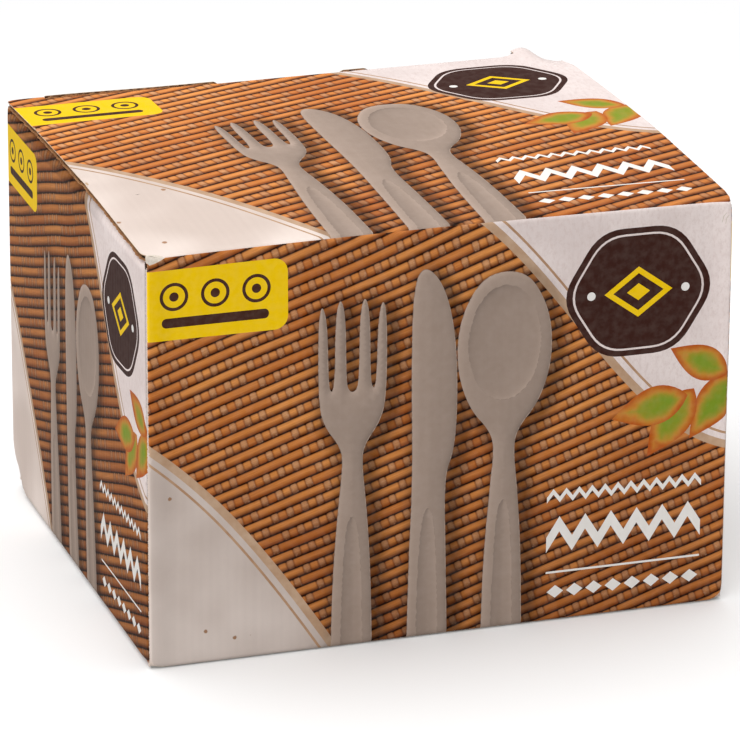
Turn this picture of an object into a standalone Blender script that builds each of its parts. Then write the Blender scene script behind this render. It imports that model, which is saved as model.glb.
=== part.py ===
"""A shut carton of plastic cutlery: one folded box of fine corrugated board with a tuck lid.

The pack is shut and can't be seen into, so it is one solid. The origin is at the centre of the
base, the front faces -Y and +Z is up. The lid hinges along the top of the front and tucks in
behind the back. Sizes are in millimetres, and MM turns them into Blender's metres.
"""
import math

import bmesh
import bpy
from mathutils import Vector

MM = 0.001

# The box over its flat panels
CARTON_WIDTH = 220.0
CARTON_DEPTH = 192.0
CARTON_HEIGHT = 155.5
BOARD = 1.6

# Folds of the board, outside radii
UPRIGHT_FOLD_RADIUS = 2.2
LID_HINGE_RADIUS = 1.8
BASE_FOLD_RADIUS = 2.0
TUCK_FOLD_RADIUS = 1.6

# The dust flaps roll over from the side panels under the raw edges of the lid
DUST_FLAP_REACH = 5.0
DUST_FLAP_DROP = 4.0

# The side flaps of the base roll over the same way above the raw edges of the outer flaps
BASE_FLAP_REACH = 3.0
BASE_FLAP_DROP = 2.4
BASE_SEAM = 1.2

# The lid's ears reach over the back panel at both ends of the tuck flap
LEFT_EAR = 15.0
RIGHT_EAR = 18.0
EAR_SEAM = 0.3
EAR_SEAM_DEPTH = 7.0
BACK_EDGE_DROP = 0.4
TUCK_SLOT = 0.4
TUCK_SLOT_DEPTH = 2.4

# The glue tab's seam at the right end of the back panel
GLUE_SEAM = 0.4

# How the filled box swells, in the middle of each panel
PANEL_BULGE = 0.8
LID_CROWN = 2.4
HINGE_BOW = 1.2
CROWN_FADE = 14.0
BULGE_FADE = 4.0

# Wear: the right ear stands up, its corner droops and one base corner is crushed
EAR_LIFT = 2.3
EAR_LIFT_INSET = 14.0
EAR_LIFT_SPREAD = 8.0
EAR_LIFT_RUN = 22.0
CORNER_DROOP = 2.4
CORNER_DROOP_SPREAD = 11.0
CRUSH_DEPTH = 2.4
CRUSH_SPREAD = 20.0

# How finely the surface is divided
PANEL_STEPS = 14
FOLD_STEPS = 4
WALL_STEPS = 9
RECESS_STEPS = 16
CAP_STEPS = 8
CAP_END_SHARE = 0.86
CAP_SPACING = 1.5
BASE_CAP_INSETS = (27.0, 15.0, 7.0)
CLEAR = 1.0
QUARTER_TURN = math.radians(90.0)
SHARP_FROM = math.radians(40.0)

HALF_WIDTH = CARTON_WIDTH / 2
HALF_DEPTH = CARTON_DEPTH / 2
LID_UNDERSIDE = CARTON_HEIGHT - BOARD

PRINTED_BOARD_COLOUR = (0.60, 0.46, 0.36, 1.0)
PRINTED_BOARD_ROUGHNESS = 0.38


def falloff(distance, spread):
    """1 at no distance, falling smoothly to 0 at the spread."""
    share = min(abs(distance) / spread, 1.0)
    return (1.0 - share * share) ** 2


def lid_rise(x, y):
    """How far the lid's surface stands above its flat height at a place in plan."""
    across = x / HALF_WIDTH
    along = min(max((y + HALF_DEPTH) / CARTON_DEPTH, 0.0), 1.0)
    crown = LID_CROWN * math.sin(math.pi * along)
    bow = HINGE_BOW * max(1.0 - across * across, 0.0) * (1.0 - along)
    from_back = HALF_DEPTH - y
    from_tip = x - (HALF_WIDTH - EAR_LIFT_INSET)
    lift = EAR_LIFT * falloff(from_tip, EAR_LIFT_SPREAD) * falloff(from_back, EAR_LIFT_RUN)
    to_corner = math.hypot(HALF_WIDTH - x, from_back)
    droop = CORNER_DROOP * falloff(to_corner, CORNER_DROOP_SPREAD)
    return crown + bow + lift - droop


def wall_bulge(along, half_length, z):
    """How far an upright panel stands out at a place along it and a height."""
    share = min(abs(along) / half_length, 1.0)
    height = min(max(z / CARTON_HEIGHT, 0.0), 1.0)
    return PANEL_BULGE * (1.0 - share * share) * math.sin(math.pi * height)


def swell(point):
    """Moves a point of the flat-panelled box to where the filled, worn box has it."""
    x, y, z = point
    out_x = math.copysign(wall_bulge(y, HALF_DEPTH, z), x) * (abs(x) / HALF_WIDTH) ** BULGE_FADE
    out_y = math.copysign(wall_bulge(x, HALF_WIDTH, z), y) * (abs(y) / HALF_DEPTH) ** BULGE_FADE
    up = lid_rise(x, y) * (z / CARTON_HEIGHT) ** CROWN_FADE
    corner = Vector((-HALF_WIDTH, HALF_DEPTH, 0.0))
    crush = CRUSH_DEPTH * falloff((point - corner).length, CRUSH_SPREAD)
    inward = Vector((1.0, -1.0, 1.0)).normalized()
    return point + Vector((out_x, out_y, up)) + inward * crush


def fold_angles():
    """The angles that divide a square fold."""
    return [QUARTER_TURN * i / FOLD_STEPS for i in range(FOLD_STEPS + 1)]


def eased(step, steps):
    """Shares from 0 to 1 that lie closer together at both ends."""
    return 0.5 - 0.5 * math.cos(math.pi * step / steps)


def arc_point(centre, radius, angle, z):
    """A point at a height on an arc in plan."""
    return Vector((centre[0] + radius * math.cos(angle), centre[1] + radius * math.sin(angle), z))


def ring(z, front_inset=0.0, back_inset=0.0, side_inset=0.0):
    """The box's outline in plan at a height, anticlockwise from the front's left fold."""
    radius = UPRIGHT_FOLD_RADIUS
    right = HALF_WIDTH - side_inset - radius
    front = -HALF_DEPTH + front_inset + radius
    back = HALF_DEPTH - back_inset - radius
    centres = [(right, front), (right, back), (-right, back), (-right, front)]
    points = []
    for index, centre in enumerate(centres):
        start = QUARTER_TURN * (index - 1)
        panel_start = arc_point(centres[index - 1], radius, start, z)
        panel_end = arc_point(centre, radius, start, z)
        points += [panel_start.lerp(panel_end, eased(i, PANEL_STEPS)) for i in range(PANEL_STEPS)]
        points += [arc_point(centre, radius, start + angle, z) for angle in fold_angles()[:-1]]
    return points


def box_rings():
    """All outlines of the box, from the middle of its base, up its walls, to the middle of its lid."""
    rings = []
    for inset in BASE_CAP_INSETS:
        rings.append(ring(0.0, BASE_FOLD_RADIUS + inset, BASE_FOLD_RADIUS + inset, inset))
    for angle in fold_angles():
        inset = BASE_FOLD_RADIUS * (1.0 - math.sin(angle))
        rings.append(ring(BASE_FOLD_RADIUS * (1.0 - math.cos(angle)), inset, inset))
    hinge_foot = CARTON_HEIGHT - LID_HINGE_RADIUS
    wall_height = hinge_foot - BASE_FOLD_RADIUS
    for i in range(1, WALL_STEPS):
        rings.append(ring(BASE_FOLD_RADIUS + wall_height * eased(i, WALL_STEPS)))
    for angle in fold_angles():
        front_inset = LID_HINGE_RADIUS * (1.0 - math.cos(angle))
        rings.append(ring(hinge_foot + LID_HINGE_RADIUS * math.sin(angle), front_inset))
    deepest = (HALF_DEPTH - UPRIGHT_FOLD_RADIUS) * CAP_END_SHARE
    for i in range(1, CAP_STEPS + 1):
        inset = deepest * (i / CAP_STEPS) ** CAP_SPACING
        rings.append(ring(CARTON_HEIGHT, LID_HINGE_RADIUS + inset, inset, inset))
    return rings


def loft(name, sections):
    """A closed solid through sections with the same number of points, capped at both ends."""
    mesh = bmesh.new()
    rows = [[mesh.verts.new(point * MM) for point in section] for section in sections]
    for low, high in zip(rows, rows[1:]):
        for i in range(len(low)):
            j = (i + 1) % len(low)
            mesh.faces.new((low[i], low[j], high[j], high[i]))
    mesh.faces.new(list(reversed(rows[0])))
    mesh.faces.new(rows[-1])
    bmesh.ops.recalc_face_normals(mesh, faces=mesh.faces)
    data = bpy.data.meshes.new(name)
    mesh.to_mesh(data)
    mesh.free()
    solid = bpy.data.objects.new(name, data)
    bpy.context.scene.collection.objects.link(solid)
    return solid


def cut(solid, cutter):
    """Takes a cutter away from the solid and keeps the cutter out of the model."""
    cutter.hide_render = True
    cutter.display_type = "WIRE"
    modifier = solid.modifiers.new(cutter.name, "BOOLEAN")
    modifier.operation = "DIFFERENCE"
    modifier.solver = "EXACT"
    modifier.object = cutter


def side_recess(side):
    """The wedge of air between the lid's raw edge and the rolled-over dust flap."""
    first = -HALF_DEPTH + BOARD
    last = HALF_DEPTH - BOARD
    sections = []
    for i in range(RECESS_STEPS + 1):
        y = first + (last - first) * i / RECESS_STEPS
        top = LID_UNDERSIDE + lid_rise(side * HALF_WIDTH, y)
        foot = LID_UNDERSIDE - DUST_FLAP_DROP
        wall = HALF_WIDTH + wall_bulge(y, HALF_DEPTH, foot)
        outline = [(wall + CLEAR, foot), (wall + CLEAR, top)]
        for angle in fold_angles():
            reach = DUST_FLAP_REACH * (1.0 - math.sin(angle))
            outline.append((wall - reach, foot + (top - foot) * math.cos(angle)))
        sections.append([Vector((side * x, y, z)) for x, z in outline])
    return loft("dust_flap_recess", sections)


def base_recess(side):
    """The same wedge at the base, above the raw edge of the outer base flaps."""
    roll_top = BOARD + BASE_FLAP_DROP
    wall = HALF_WIDTH + wall_bulge(0.0, HALF_DEPTH, roll_top)
    outline = [(wall + CLEAR, roll_top), (wall + CLEAR, BOARD)]
    for angle in fold_angles():
        reach = BASE_FLAP_REACH * (1.0 - math.sin(angle))
        outline.append((wall - reach, roll_top - BASE_FLAP_DROP * math.cos(angle)))
    ends = (-HALF_DEPTH + BOARD, HALF_DEPTH - BOARD)
    return loft("base_flap_recess", [[Vector((side * x, y, z)) for x, z in outline] for y in ends])


def tuck_groove():
    """The air over the tuck flap's fold and over the back panel's raw top edge, between the ears."""
    first = -HALF_WIDTH + LEFT_EAR
    last = HALF_WIDTH - RIGHT_EAR
    panel_inside = HALF_DEPTH - BOARD
    fold_start = panel_inside - TUCK_SLOT - TUCK_FOLD_RADIUS
    edge_top = CARTON_HEIGHT - BACK_EDGE_DROP
    slot_foot = edge_top - TUCK_FOLD_RADIUS - TUCK_SLOT_DEPTH
    above = CARTON_HEIGHT + LID_CROWN + HINGE_BOW + EAR_LIFT + CLEAR
    sections = []
    for i in range(RECESS_STEPS + 1):
        x = first + (last - first) * i / RECESS_STEPS
        top = CARTON_HEIGHT + lid_rise(x, fold_start)
        outline = [(fold_start, above)]
        for angle in fold_angles():
            fall = TUCK_FOLD_RADIUS * (1.0 - math.cos(angle))
            outline.append((fold_start + TUCK_FOLD_RADIUS * math.sin(angle), top - fall))
        outline += [
            (panel_inside - TUCK_SLOT, slot_foot),
            (panel_inside, slot_foot),
            (panel_inside, edge_top),
            (HALF_DEPTH + CLEAR, edge_top),
            (HALF_DEPTH + CLEAR, above),
        ]
        sections.append([Vector((x, y, z)) for y, z in outline])
    return loft("tuck_groove", sections)


def ear_seam(side, ear):
    """The thin gap between an ear and the back panel's edge that it lies on."""
    sections = []
    for i in range(RECESS_STEPS + 1):
        x = side * (HALF_WIDTH - ear + (ear + CLEAR) * i / RECESS_STEPS)
        inner_rise = lid_rise(x, HALF_DEPTH - EAR_SEAM_DEPTH)
        outer_rise = lid_rise(x, HALF_DEPTH)
        outline = [
            (HALF_DEPTH + CLEAR, LID_UNDERSIDE - EAR_SEAM + min(outer_rise, 0.0)),
            (HALF_DEPTH + CLEAR, LID_UNDERSIDE + outer_rise),
            (HALF_DEPTH - EAR_SEAM_DEPTH, LID_UNDERSIDE + inner_rise),
            (HALF_DEPTH - EAR_SEAM_DEPTH, LID_UNDERSIDE - EAR_SEAM + min(inner_rise, 0.0)),
        ]
        sections.append([Vector((x, y, z)) for y, z in outline])
    return loft("ear_seam", sections)


def base_seam():
    """The gap where the two outer base flaps meet."""
    half = BASE_SEAM / 2
    outline = [(-half, -CLEAR), (half, -CLEAR), (half, BOARD), (-half, BOARD)]
    ends = (-HALF_WIDTH - CLEAR, HALF_WIDTH + CLEAR)
    return loft("base_seam", [[Vector((x, y, z)) for y, z in outline] for x in ends])


def glue_seam():
    """The upright gap between the back panel's raw end and the fold of the glue tab."""
    right = HALF_WIDTH - UPRIGHT_FOLD_RADIUS
    outline = [
        (right - GLUE_SEAM, HALF_DEPTH - BOARD),
        (right, HALF_DEPTH - BOARD),
        (right, HALF_DEPTH + PANEL_BULGE + CLEAR),
        (right - GLUE_SEAM, HALF_DEPTH + PANEL_BULGE + CLEAR),
    ]
    ends = (-CLEAR, LID_UNDERSIDE - EAR_SEAM)
    return loft("glue_seam", [[Vector((x, y, z)) for x, y in outline] for z in ends])


def printed_board():
    """The laminated, printed face of the board, at its mean colour."""
    material = bpy.data.materials.new("printed_board")
    material.use_nodes = True
    shader = material.node_tree.nodes["Principled BSDF"]
    shader.inputs["Base Color"].default_value = PRINTED_BOARD_COLOUR
    shader.inputs["Roughness"].default_value = PRINTED_BOARD_ROUGHNESS
    shader.inputs["Metallic"].default_value = 0.0
    return material


def cutlery_carton():
    """The whole shut carton with its recesses, seams and raw edges."""
    worn_rings = [[swell(point) for point in outline] for outline in box_rings()]
    carton = loft("cutlery_carton", worn_rings)
    carton.data.materials.append(printed_board())
    for side in (-1, 1):
        cut(carton, side_recess(side))
        cut(carton, base_recess(side))
    cut(carton, tuck_groove())
    cut(carton, ear_seam(-1, LEFT_EAR))
    cut(carton, ear_seam(1, RIGHT_EAR))
    cut(carton, base_seam())
    cut(carton, glue_seam())
    carton.data.shade_smooth()
    carton.data.set_sharp_from_angle(angle=SHARP_FROM)
    return carton


def main():
    for old in list(bpy.data.objects):
        bpy.data.objects.remove(old, do_unlink=True)
    cutlery_carton()


main()
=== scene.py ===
"""The looks of a shut carton of plastic cutlery: printed, film-laminated fine corrugated board.

The printed outer liner is one skin. Each panel is divided along the outlines of its printed shapes,
so every field of colour is real faces with a material of its own. Lengths are in millimetres until
a mesh is made. Print is placed in each panel's own millimetres, from its lower left corner.
"""
import math

import bmesh
import bpy
import numpy as np
from mathutils import Matrix, Vector, noise
from mathutils.geometry import delaunay_2d_cdt


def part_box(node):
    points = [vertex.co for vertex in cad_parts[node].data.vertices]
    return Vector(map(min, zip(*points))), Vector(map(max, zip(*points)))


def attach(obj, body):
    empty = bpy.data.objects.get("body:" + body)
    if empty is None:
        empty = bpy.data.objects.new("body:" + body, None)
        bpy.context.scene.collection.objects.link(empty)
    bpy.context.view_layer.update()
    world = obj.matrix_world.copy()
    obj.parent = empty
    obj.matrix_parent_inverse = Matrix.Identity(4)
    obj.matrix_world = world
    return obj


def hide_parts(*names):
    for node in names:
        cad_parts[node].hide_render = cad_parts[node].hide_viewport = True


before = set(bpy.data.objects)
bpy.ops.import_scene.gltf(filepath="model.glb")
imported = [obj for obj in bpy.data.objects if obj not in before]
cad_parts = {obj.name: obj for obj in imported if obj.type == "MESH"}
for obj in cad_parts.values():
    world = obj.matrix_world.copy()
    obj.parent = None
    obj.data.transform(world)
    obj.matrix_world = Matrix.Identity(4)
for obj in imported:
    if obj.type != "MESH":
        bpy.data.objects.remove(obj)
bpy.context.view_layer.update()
NODE = "cutlery_carton"
MM = 0.001

# The noise in the board starts from here, so that each run gives the same board
NOISE_SEED = 1
noise.seed_set(NOISE_SEED)

# How far the swollen panels and the lid's standing ear reach past the flat carton
PANEL_BULGE = 0.77
LID_SWELL = 3.03

# The flat carton, from the solid's box
NODE_LOW, NODE_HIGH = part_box(NODE)
WIDTH = (NODE_HIGH.x - NODE_LOW.x) / MM - 2.0 * PANEL_BULGE
DEPTH = (NODE_HIGH.y - NODE_LOW.y) / MM - 2.0 * PANEL_BULGE
HEIGHT = NODE_HIGH.z / MM - LID_SWELL
HALF_WIDTH = WIDTH / 2.0
HALF_DEPTH = DEPTH / 2.0

# The board and its folds, as the solid has them
BOARD = 1.6
LINER = 0.3
FLUTE_PITCH = 3.3
UPRIGHT_FOLD_RADIUS = 2.2
LID_HINGE_RADIUS = 1.8
BASE_FOLD_RADIUS = 2.0
TUCK_FOLD_RADIUS = 1.6
DUST_FLAP_REACH = 5.0
DUST_FLAP_DROP = 4.0
BASE_FLAP_REACH = 3.0
BASE_FLAP_DROP = 2.4
BASE_ROLL_FOOT = 0.25
BASE_EDGE_INSET = 2.2
BASE_SEAM = 1.2
LEFT_EAR = 15.0
RIGHT_EAR = 18.0
BACK_EDGE_DROP = 0.4
TUCK_SLOT = 0.4
TUCK_FLAP_SHOWN = 9.0
EAR_SLIT = 0.5
GLUE_SEAM = 0.4
UNDER_LID_GAP = 0.35
SIDE_ROLL_START = 1.2
SIDE_ROLL_RUN = 3.0
CORNER_BLEND = 4.0
LID_UNDERSIDE = HEIGHT - BOARD

# Swell and wear, as the solid has them
LID_CROWN = 2.4
HINGE_BOW = 1.2
CROWN_FADE = 14.0
EAR_LIFT = 2.3
EAR_LIFT_INSET = 14.0
EAR_LIFT_SPREAD = 8.0
EAR_LIFT_RUN = 22.0
CORNER_DROOP = 2.4
CORNER_DROOP_SPREAD = 11.0
CRUSH_DEPTH = 2.4
CRUSH_SPREAD = 20.0
RIPPLE_HEIGHT = 0.16
RIPPLE_LENGTH = 46.0
CRUMPLE_LENGTH = 3.4

# Dents in the lid's left edge: the place along it, the depth and the spread
LID_DENTS = ((53.0, 0.9, 3.5), (-14.0, 0.9, 6.0))
LID_DENT_REACH = 4.0

# How finely the skin is divided
GRID_STEP = 3.0
LID_ROW_STEP = 1.8
TOP_ROLL_STEPS = 8
BASE_ROLL_STEPS = 6
TUCK_STEPS = 6
CORNER_STEPS = 5
BASE_ROW_STEP = 6.0
FLAT_DIGITS = 6

# Rings of points beside the outline of a shaded shape: how far inside it each is
SHADE_RINGS = {
    "raised": (0.4, 1.0, 1.8, 3.0, 4.6, -0.6, -1.6, -3.0, -4.8, -6.8),
    "sunk": (0.4, 1.0, 1.8, 3.0, 4.6),
    "leaf": (0.5, 1.2, 2.2, 3.4),
}
OUTLINE_STEP = 1.22
ARC_STEPS = 4
CDT_TOLERANCE = 1e-5
MERGE_DISTANCE = 0.004

QUARTER = math.pi / 2.0
EIGHTH = math.pi / 4.0
HALF_ARC = UPRIGHT_FOLD_RADIUS * EIGHTH

FRONT, RIGHT, BACK, LEFT, LID = range(5)

# Corners with crumpled board: the place as shares of half the width, half the depth and the height,
# how unevenly the board lies there, how far it is pushed each way, and how far round it each way
CRUMPLED_CORNERS = (
    ((-1.0, -1.0, 1.0), 0.9, (0.2, 0.3, 0.1), (8.0, 8.0, 6.0)),
    ((1.0, -1.0, 1.0), 0.12, (-0.35, 0.3, -0.5), (9.0, 10.0, 9.0)),
    ((1.0, 1.0, 1.0), 0.3, (-0.3, -0.3, -2.0), (13.0, 26.0, 12.0)),
    ((-1.0, 1.0, 1.0), 0.3, (0.2, -0.2, -0.2), (7.0, 7.0, 7.0)),
    ((-1.0, -1.0, 0.0), 0.30, (0.3, 0.5, 0.6), (6.0, 12.0, 7.0)),
    ((1.0, -1.0, 0.0), 0.35, (-0.5, 0.5, 0.8), (6.0, 6.0, 6.0)),
    ((-1.0, 1.0, 0.0), 0.35, (0.6, -0.6, 1.2), (11.0, 13.0, 13.0)),
)


def falloff(distance, spread):
    """1 at no distance, falling smoothly to 0 at the spread."""
    share = min(abs(distance) / spread, 1.0)
    return (1.0 - share * share) ** 2


def lid_rise(x, y):
    """How far the lid stands above its flat height at a place in plan."""
    across = x / HALF_WIDTH
    along = min(max((y + HALF_DEPTH) / DEPTH, 0.0), 1.0)
    crown = LID_CROWN * math.sin(math.pi * along)
    bow = HINGE_BOW * max(1.0 - across * across, 0.0) * (1.0 - along)
    from_back = HALF_DEPTH - y
    from_tip = x - (HALF_WIDTH - EAR_LIFT_INSET)
    lift = EAR_LIFT * falloff(from_tip, EAR_LIFT_SPREAD) * falloff(from_back, EAR_LIFT_RUN)
    to_corner = math.hypot(HALF_WIDTH - x, from_back)
    return crown + bow + lift - CORNER_DROOP * falloff(to_corner, CORNER_DROOP_SPREAD)


def wall_bulge(along, half_length, z):
    """How far an upright panel stands out at a place along it and a height."""
    share = min(abs(along) / half_length, 1.0)
    height = min(max(z / HEIGHT, 0.0), 1.0)
    return PANEL_BULGE * (1.0 - share * share) * math.sin(math.pi * height)


def worn(point):
    """The crushed base corner and the board's slight unevenness."""
    corner = Vector((-HALF_WIDTH, HALF_DEPTH, 0.0))
    crush = CRUSH_DEPTH * falloff((point - corner).length, CRUSH_SPREAD)
    inward = Vector((1.0, -1.0, 1.0)).normalized()
    push = noise.noise_vector(point / RIPPLE_LENGTH) * RIPPLE_HEIGHT
    for place, uneven, pushed, reach in CRUMPLED_CORNERS:
        away = point - Vector((place[0] * HALF_WIDTH, place[1] * HALF_DEPTH, place[2] * HEIGHT))
        near = falloff(math.hypot(away.x / reach[0], away.y / reach[1], away.z / reach[2]), 1.0)
        if near > 0.0:
            push += (noise.noise_vector(point / CRUMPLE_LENGTH) * uneven + Vector(pushed)) * near
    if push.z < 0.0:
        push.z *= min(max(point.z / BASE_FLAP_DROP, 0.0), 1.0)
    return point + inward * crush + push


def wall_sizes(side):
    """Half the length of an upright panel, and its distance from the middle of the box."""
    return (HALF_WIDTH, HALF_DEPTH) if side in (FRONT, BACK) else (HALF_DEPTH, HALF_WIDTH)


def wall_turn(side, along, out, z):
    """A point of an upright panel, from its place along it and its distance out."""
    if side == FRONT:
        return Vector((along, -out, z))
    if side == RIGHT:
        return Vector((out, along, z))
    if side == BACK:
        return Vector((-along, out, z))
    return Vector((-out, -along, z))


def roll_length(reach, drop):
    """The length of a quarter of an ellipse, near enough."""
    return QUARTER * math.sqrt((reach * reach + drop * drop) / 2.0)


TOP_ROLL = roll_length(DUST_FLAP_REACH, DUST_FLAP_DROP)
SIDE_TOP_FOOT = LID_UNDERSIDE - DUST_FLAP_DROP
SIDE_BASE_FOOT = BOARD + BASE_FLAP_DROP
BASE_ROLL = roll_length(BASE_FLAP_REACH, SIDE_BASE_FOOT - BASE_ROLL_FOOT)
HINGE_FOOT = HEIGHT - LID_HINGE_RADIUS


def smooth(share):
    """Eases a share from 0 to 1."""
    share = min(max(share, 0.0), 1.0)
    return share * share * (3.0 - 2.0 * share)


def fold_over(v, foot, length, reach):
    """The angle of a side panel's roll and how far it has gone in, at a distance up or down the panel."""
    bend = min(abs(v - foot) / length, 1.0) * QUARTER
    return bend, reach * (1.0 - math.cos(bend))


def wall_place(side, u, v):
    """Where a point of an upright panel lies: u along it from its middle, v up it."""
    half, other = wall_sizes(side)
    flat = half - UPRIGHT_FOLD_RADIUS
    turn = max(abs(u) - flat, 0.0) / UPRIGHT_FOLD_RADIUS
    along = math.copysign(min(abs(u), flat) + UPRIGHT_FOLD_RADIUS * math.sin(turn), u)
    inset = UPRIGHT_FOLD_RADIUS * (1.0 - math.cos(turn))
    z = v
    if side in (FRONT, BACK):
        if v < BASE_FOLD_RADIUS:
            bend = (BASE_FOLD_RADIUS - v) / BASE_FOLD_RADIUS
            inset += BASE_FOLD_RADIUS * (1.0 - math.cos(bend))
            z = BASE_FOLD_RADIUS * (1.0 - math.sin(bend))
        if side == FRONT and v > HINGE_FOOT:
            bend = (v - HINGE_FOOT) / LID_HINGE_RADIUS
            inset += LID_HINGE_RADIUS * (1.0 - math.cos(bend))
            z = HINGE_FOOT + LID_HINGE_RADIUS * math.sin(bend)
    else:
        plan = wall_turn(side, along, HALF_WIDTH, 0.0)
        rolled = smooth((half - SIDE_ROLL_START - abs(along)) / SIDE_ROLL_RUN)
        if v > SIDE_TOP_FOOT:
            bend, reach = fold_over(v, SIDE_TOP_FOOT, TOP_ROLL, DUST_FLAP_REACH)
            inset += reach * rolled
            rise = DUST_FLAP_DROP + lid_rise(plan.x, plan.y) - UNDER_LID_GAP
            z = SIDE_TOP_FOOT + rise * math.sin(bend)
        elif v < SIDE_BASE_FOOT:
            bend, reach = fold_over(v, SIDE_BASE_FOOT, BASE_ROLL, BASE_FLAP_REACH)
            inset += reach * rolled
            z = SIDE_BASE_FOOT - (SIDE_BASE_FOOT - BASE_ROLL_FOOT) * math.sin(bend)
    point = wall_turn(side, along, other - inset + wall_bulge(along, half, z), z)
    if side == FRONT:
        point.z += lid_rise(point.x, point.y) * (max(z, 0.0) / HEIGHT) ** CROWN_FADE
    if side == BACK:
        point.z += min(lid_rise(point.x, point.y), 0.0) * (max(z, 0.0) / HEIGHT) ** CROWN_FADE
    return worn(point)


HINGE_HALF = LID_HINGE_RADIUS * EIGHTH
LID_LENGTH = HINGE_HALF + DEPTH - LID_HINGE_RADIUS
TUCK_START_Y = HALF_DEPTH - BOARD - TUCK_SLOT - TUCK_FOLD_RADIUS
TUCK_START = HINGE_HALF + TUCK_START_Y + HALF_DEPTH - LID_HINGE_RADIUS
TUCK_TURN = TUCK_FOLD_RADIUS * QUARTER
TUCK_END = TUCK_START + TUCK_TURN + TUCK_FLAP_SHOWN


def lid_rim(v):
    """Half the lid's width at a distance from the hinge: it rounds off at its corners."""
    flat = HALF_WIDTH - UPRIGHT_FOLD_RADIUS
    widening = smooth(v / CORNER_BLEND) * (UPRIGHT_FOLD_RADIUS - HALF_ARC)
    into = max(UPRIGHT_FOLD_RADIUS - max(LID_LENGTH - v, 0.0), 0.0)
    rounding = UPRIGHT_FOLD_RADIUS - math.sqrt(UPRIGHT_FOLD_RADIUS ** 2 - into ** 2)
    return flat + HALF_ARC + widening - rounding


def flap_across(u, v):
    """A point of the lid or of a base flap near its fold: its place across, how far in it is, how near."""
    flat = HALF_WIDTH - UPRIGHT_FOLD_RADIUS
    turn = max(abs(u) - flat, 0.0) / UPRIGHT_FOLD_RADIUS
    near = 1.0 - smooth(v / CORNER_BLEND)
    folded = min(abs(u), flat) + UPRIGHT_FOLD_RADIUS * math.sin(turn)
    x = math.copysign(near * folded + (1.0 - near) * abs(u), u)
    return x, near * UPRIGHT_FOLD_RADIUS * (1.0 - math.cos(turn)), near


def lid_place(u, v):
    """Where a point of the lid lies: u across from its middle, v from the middle of the hinge fold."""
    ear = u < -HALF_WIDTH + LEFT_EAR or u > HALF_WIDTH - RIGHT_EAR
    x, back, _ = flap_across(u, v)
    if v < HINGE_HALF:
        bend = EIGHTH + v / LID_HINGE_RADIUS
        z = HINGE_FOOT + LID_HINGE_RADIUS * math.sin(bend)
        out = wall_bulge(x, HALF_WIDTH, z)
        y = -HALF_DEPTH + LID_HINGE_RADIUS * (1.0 - math.cos(bend)) + back
        rise = lid_rise(x, y - out) * (z / HEIGHT) ** CROWN_FADE
        return worn(Vector((x, y - out, z + rise)))
    drop = 0.0
    y = -HALF_DEPTH + LID_HINGE_RADIUS + v - HINGE_HALF + back
    if v > TUCK_START and not ear:
        bend = min((v - TUCK_START) / TUCK_FOLD_RADIUS, QUARTER)
        y = TUCK_START_Y + TUCK_FOLD_RADIUS * math.sin(bend)
        drop = TUCK_FOLD_RADIUS * (1.0 - math.cos(bend)) + max(v - TUCK_START - TUCK_TURN, 0.0)
    dent = sum(depth * falloff(y - place, spread) for place, depth, spread in LID_DENTS)
    dent *= falloff(HALF_WIDTH + x, LID_DENT_REACH)
    rise = lid_rise(x, min(y, TUCK_START_Y) if drop else y) - dent
    return worn(Vector((x + dent, y, HEIGHT - drop + rise)))


# Outlines of printed shapes

def rounded(points, passes=3):
    """Rounds a closed outline off by cutting its corners."""
    for _ in range(passes):
        cut = []
        for (x0, y0), (x1, y1) in zip(points, points[1:] + points[:1]):
            cut.append((0.75 * x0 + 0.25 * x1, 0.75 * y0 + 0.25 * y1))
            cut.append((0.25 * x0 + 0.75 * x1, 0.25 * y0 + 0.75 * y1))
        points = cut
    return points


def ellipse(cx, cy, rx, ry, steps=56):
    """An ellipse's outline."""
    turns = [2.0 * math.pi * i / steps for i in range(steps)]
    return [(cx + rx * math.cos(t), cy + ry * math.sin(t)) for t in turns]


def diamond(half_width, half_height):
    """A diamond round the origin."""
    return [(half_width, 0.0), (0.0, half_height), (-half_width, 0.0), (0.0, -half_height)]


def rounded_box(x0, y0, x1, y1, radius, steps=7):
    """A box with round corners."""
    points = []
    for index, (cx, cy) in enumerate(((x1 - radius, y0 + radius), (x1 - radius, y1 - radius),
                                      (x0 + radius, y1 - radius), (x0 + radius, y0 + radius))):
        for i in range(steps + 1):
            turn = QUARTER * (index - 1 + i / steps)
            points.append((cx + radius * math.cos(turn), cy + radius * math.sin(turn)))
    return points


def filleted(points, radius, steps=6):
    """A closed outline with each corner rounded to a radius by a smooth curve."""
    outline = []
    count = len(points)
    for index in range(count):
        before, at, after = (Vector(points[(index + k) % count]) for k in (-1, 0, 1))
        start = at + (before - at).normalized() * radius
        end = at + (after - at).normalized() * radius
        for i in range(steps + 1):
            t = i / steps
            outline.append(tuple(start.lerp(at, t).lerp(at.lerp(end, t), t)))
    return outline


def mirrored(half):
    """A closed outline from its right half, listed from the bottom up."""
    return half + [(-x, y) for x, y in reversed(half)]


def placed(points, x, y, scale=1.0, tilt=0.0):
    """An outline turned, scaled and moved to its place."""
    c, s = math.cos(tilt), math.sin(tilt)
    return [(x + scale * (px * c - py * s), y + scale * (px * s + py * c)) for px, py in points]


LEAF_STEPS = 14
LEAF_WIDTH = 0.25
LEAF_FULLNESS = 0.8


def leaf_outline(length):
    """A pointed leaf along +X, widest before its middle."""
    shares = [i / LEAF_STEPS for i in range(LEAF_STEPS + 1)]
    side = [(length * s, LEAF_WIDTH * length * math.sin(math.pi * s ** LEAF_FULLNESS)) for s in shares]
    return side[:-1] + [(x, -y) for x, y in reversed(side[1:])]


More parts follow.
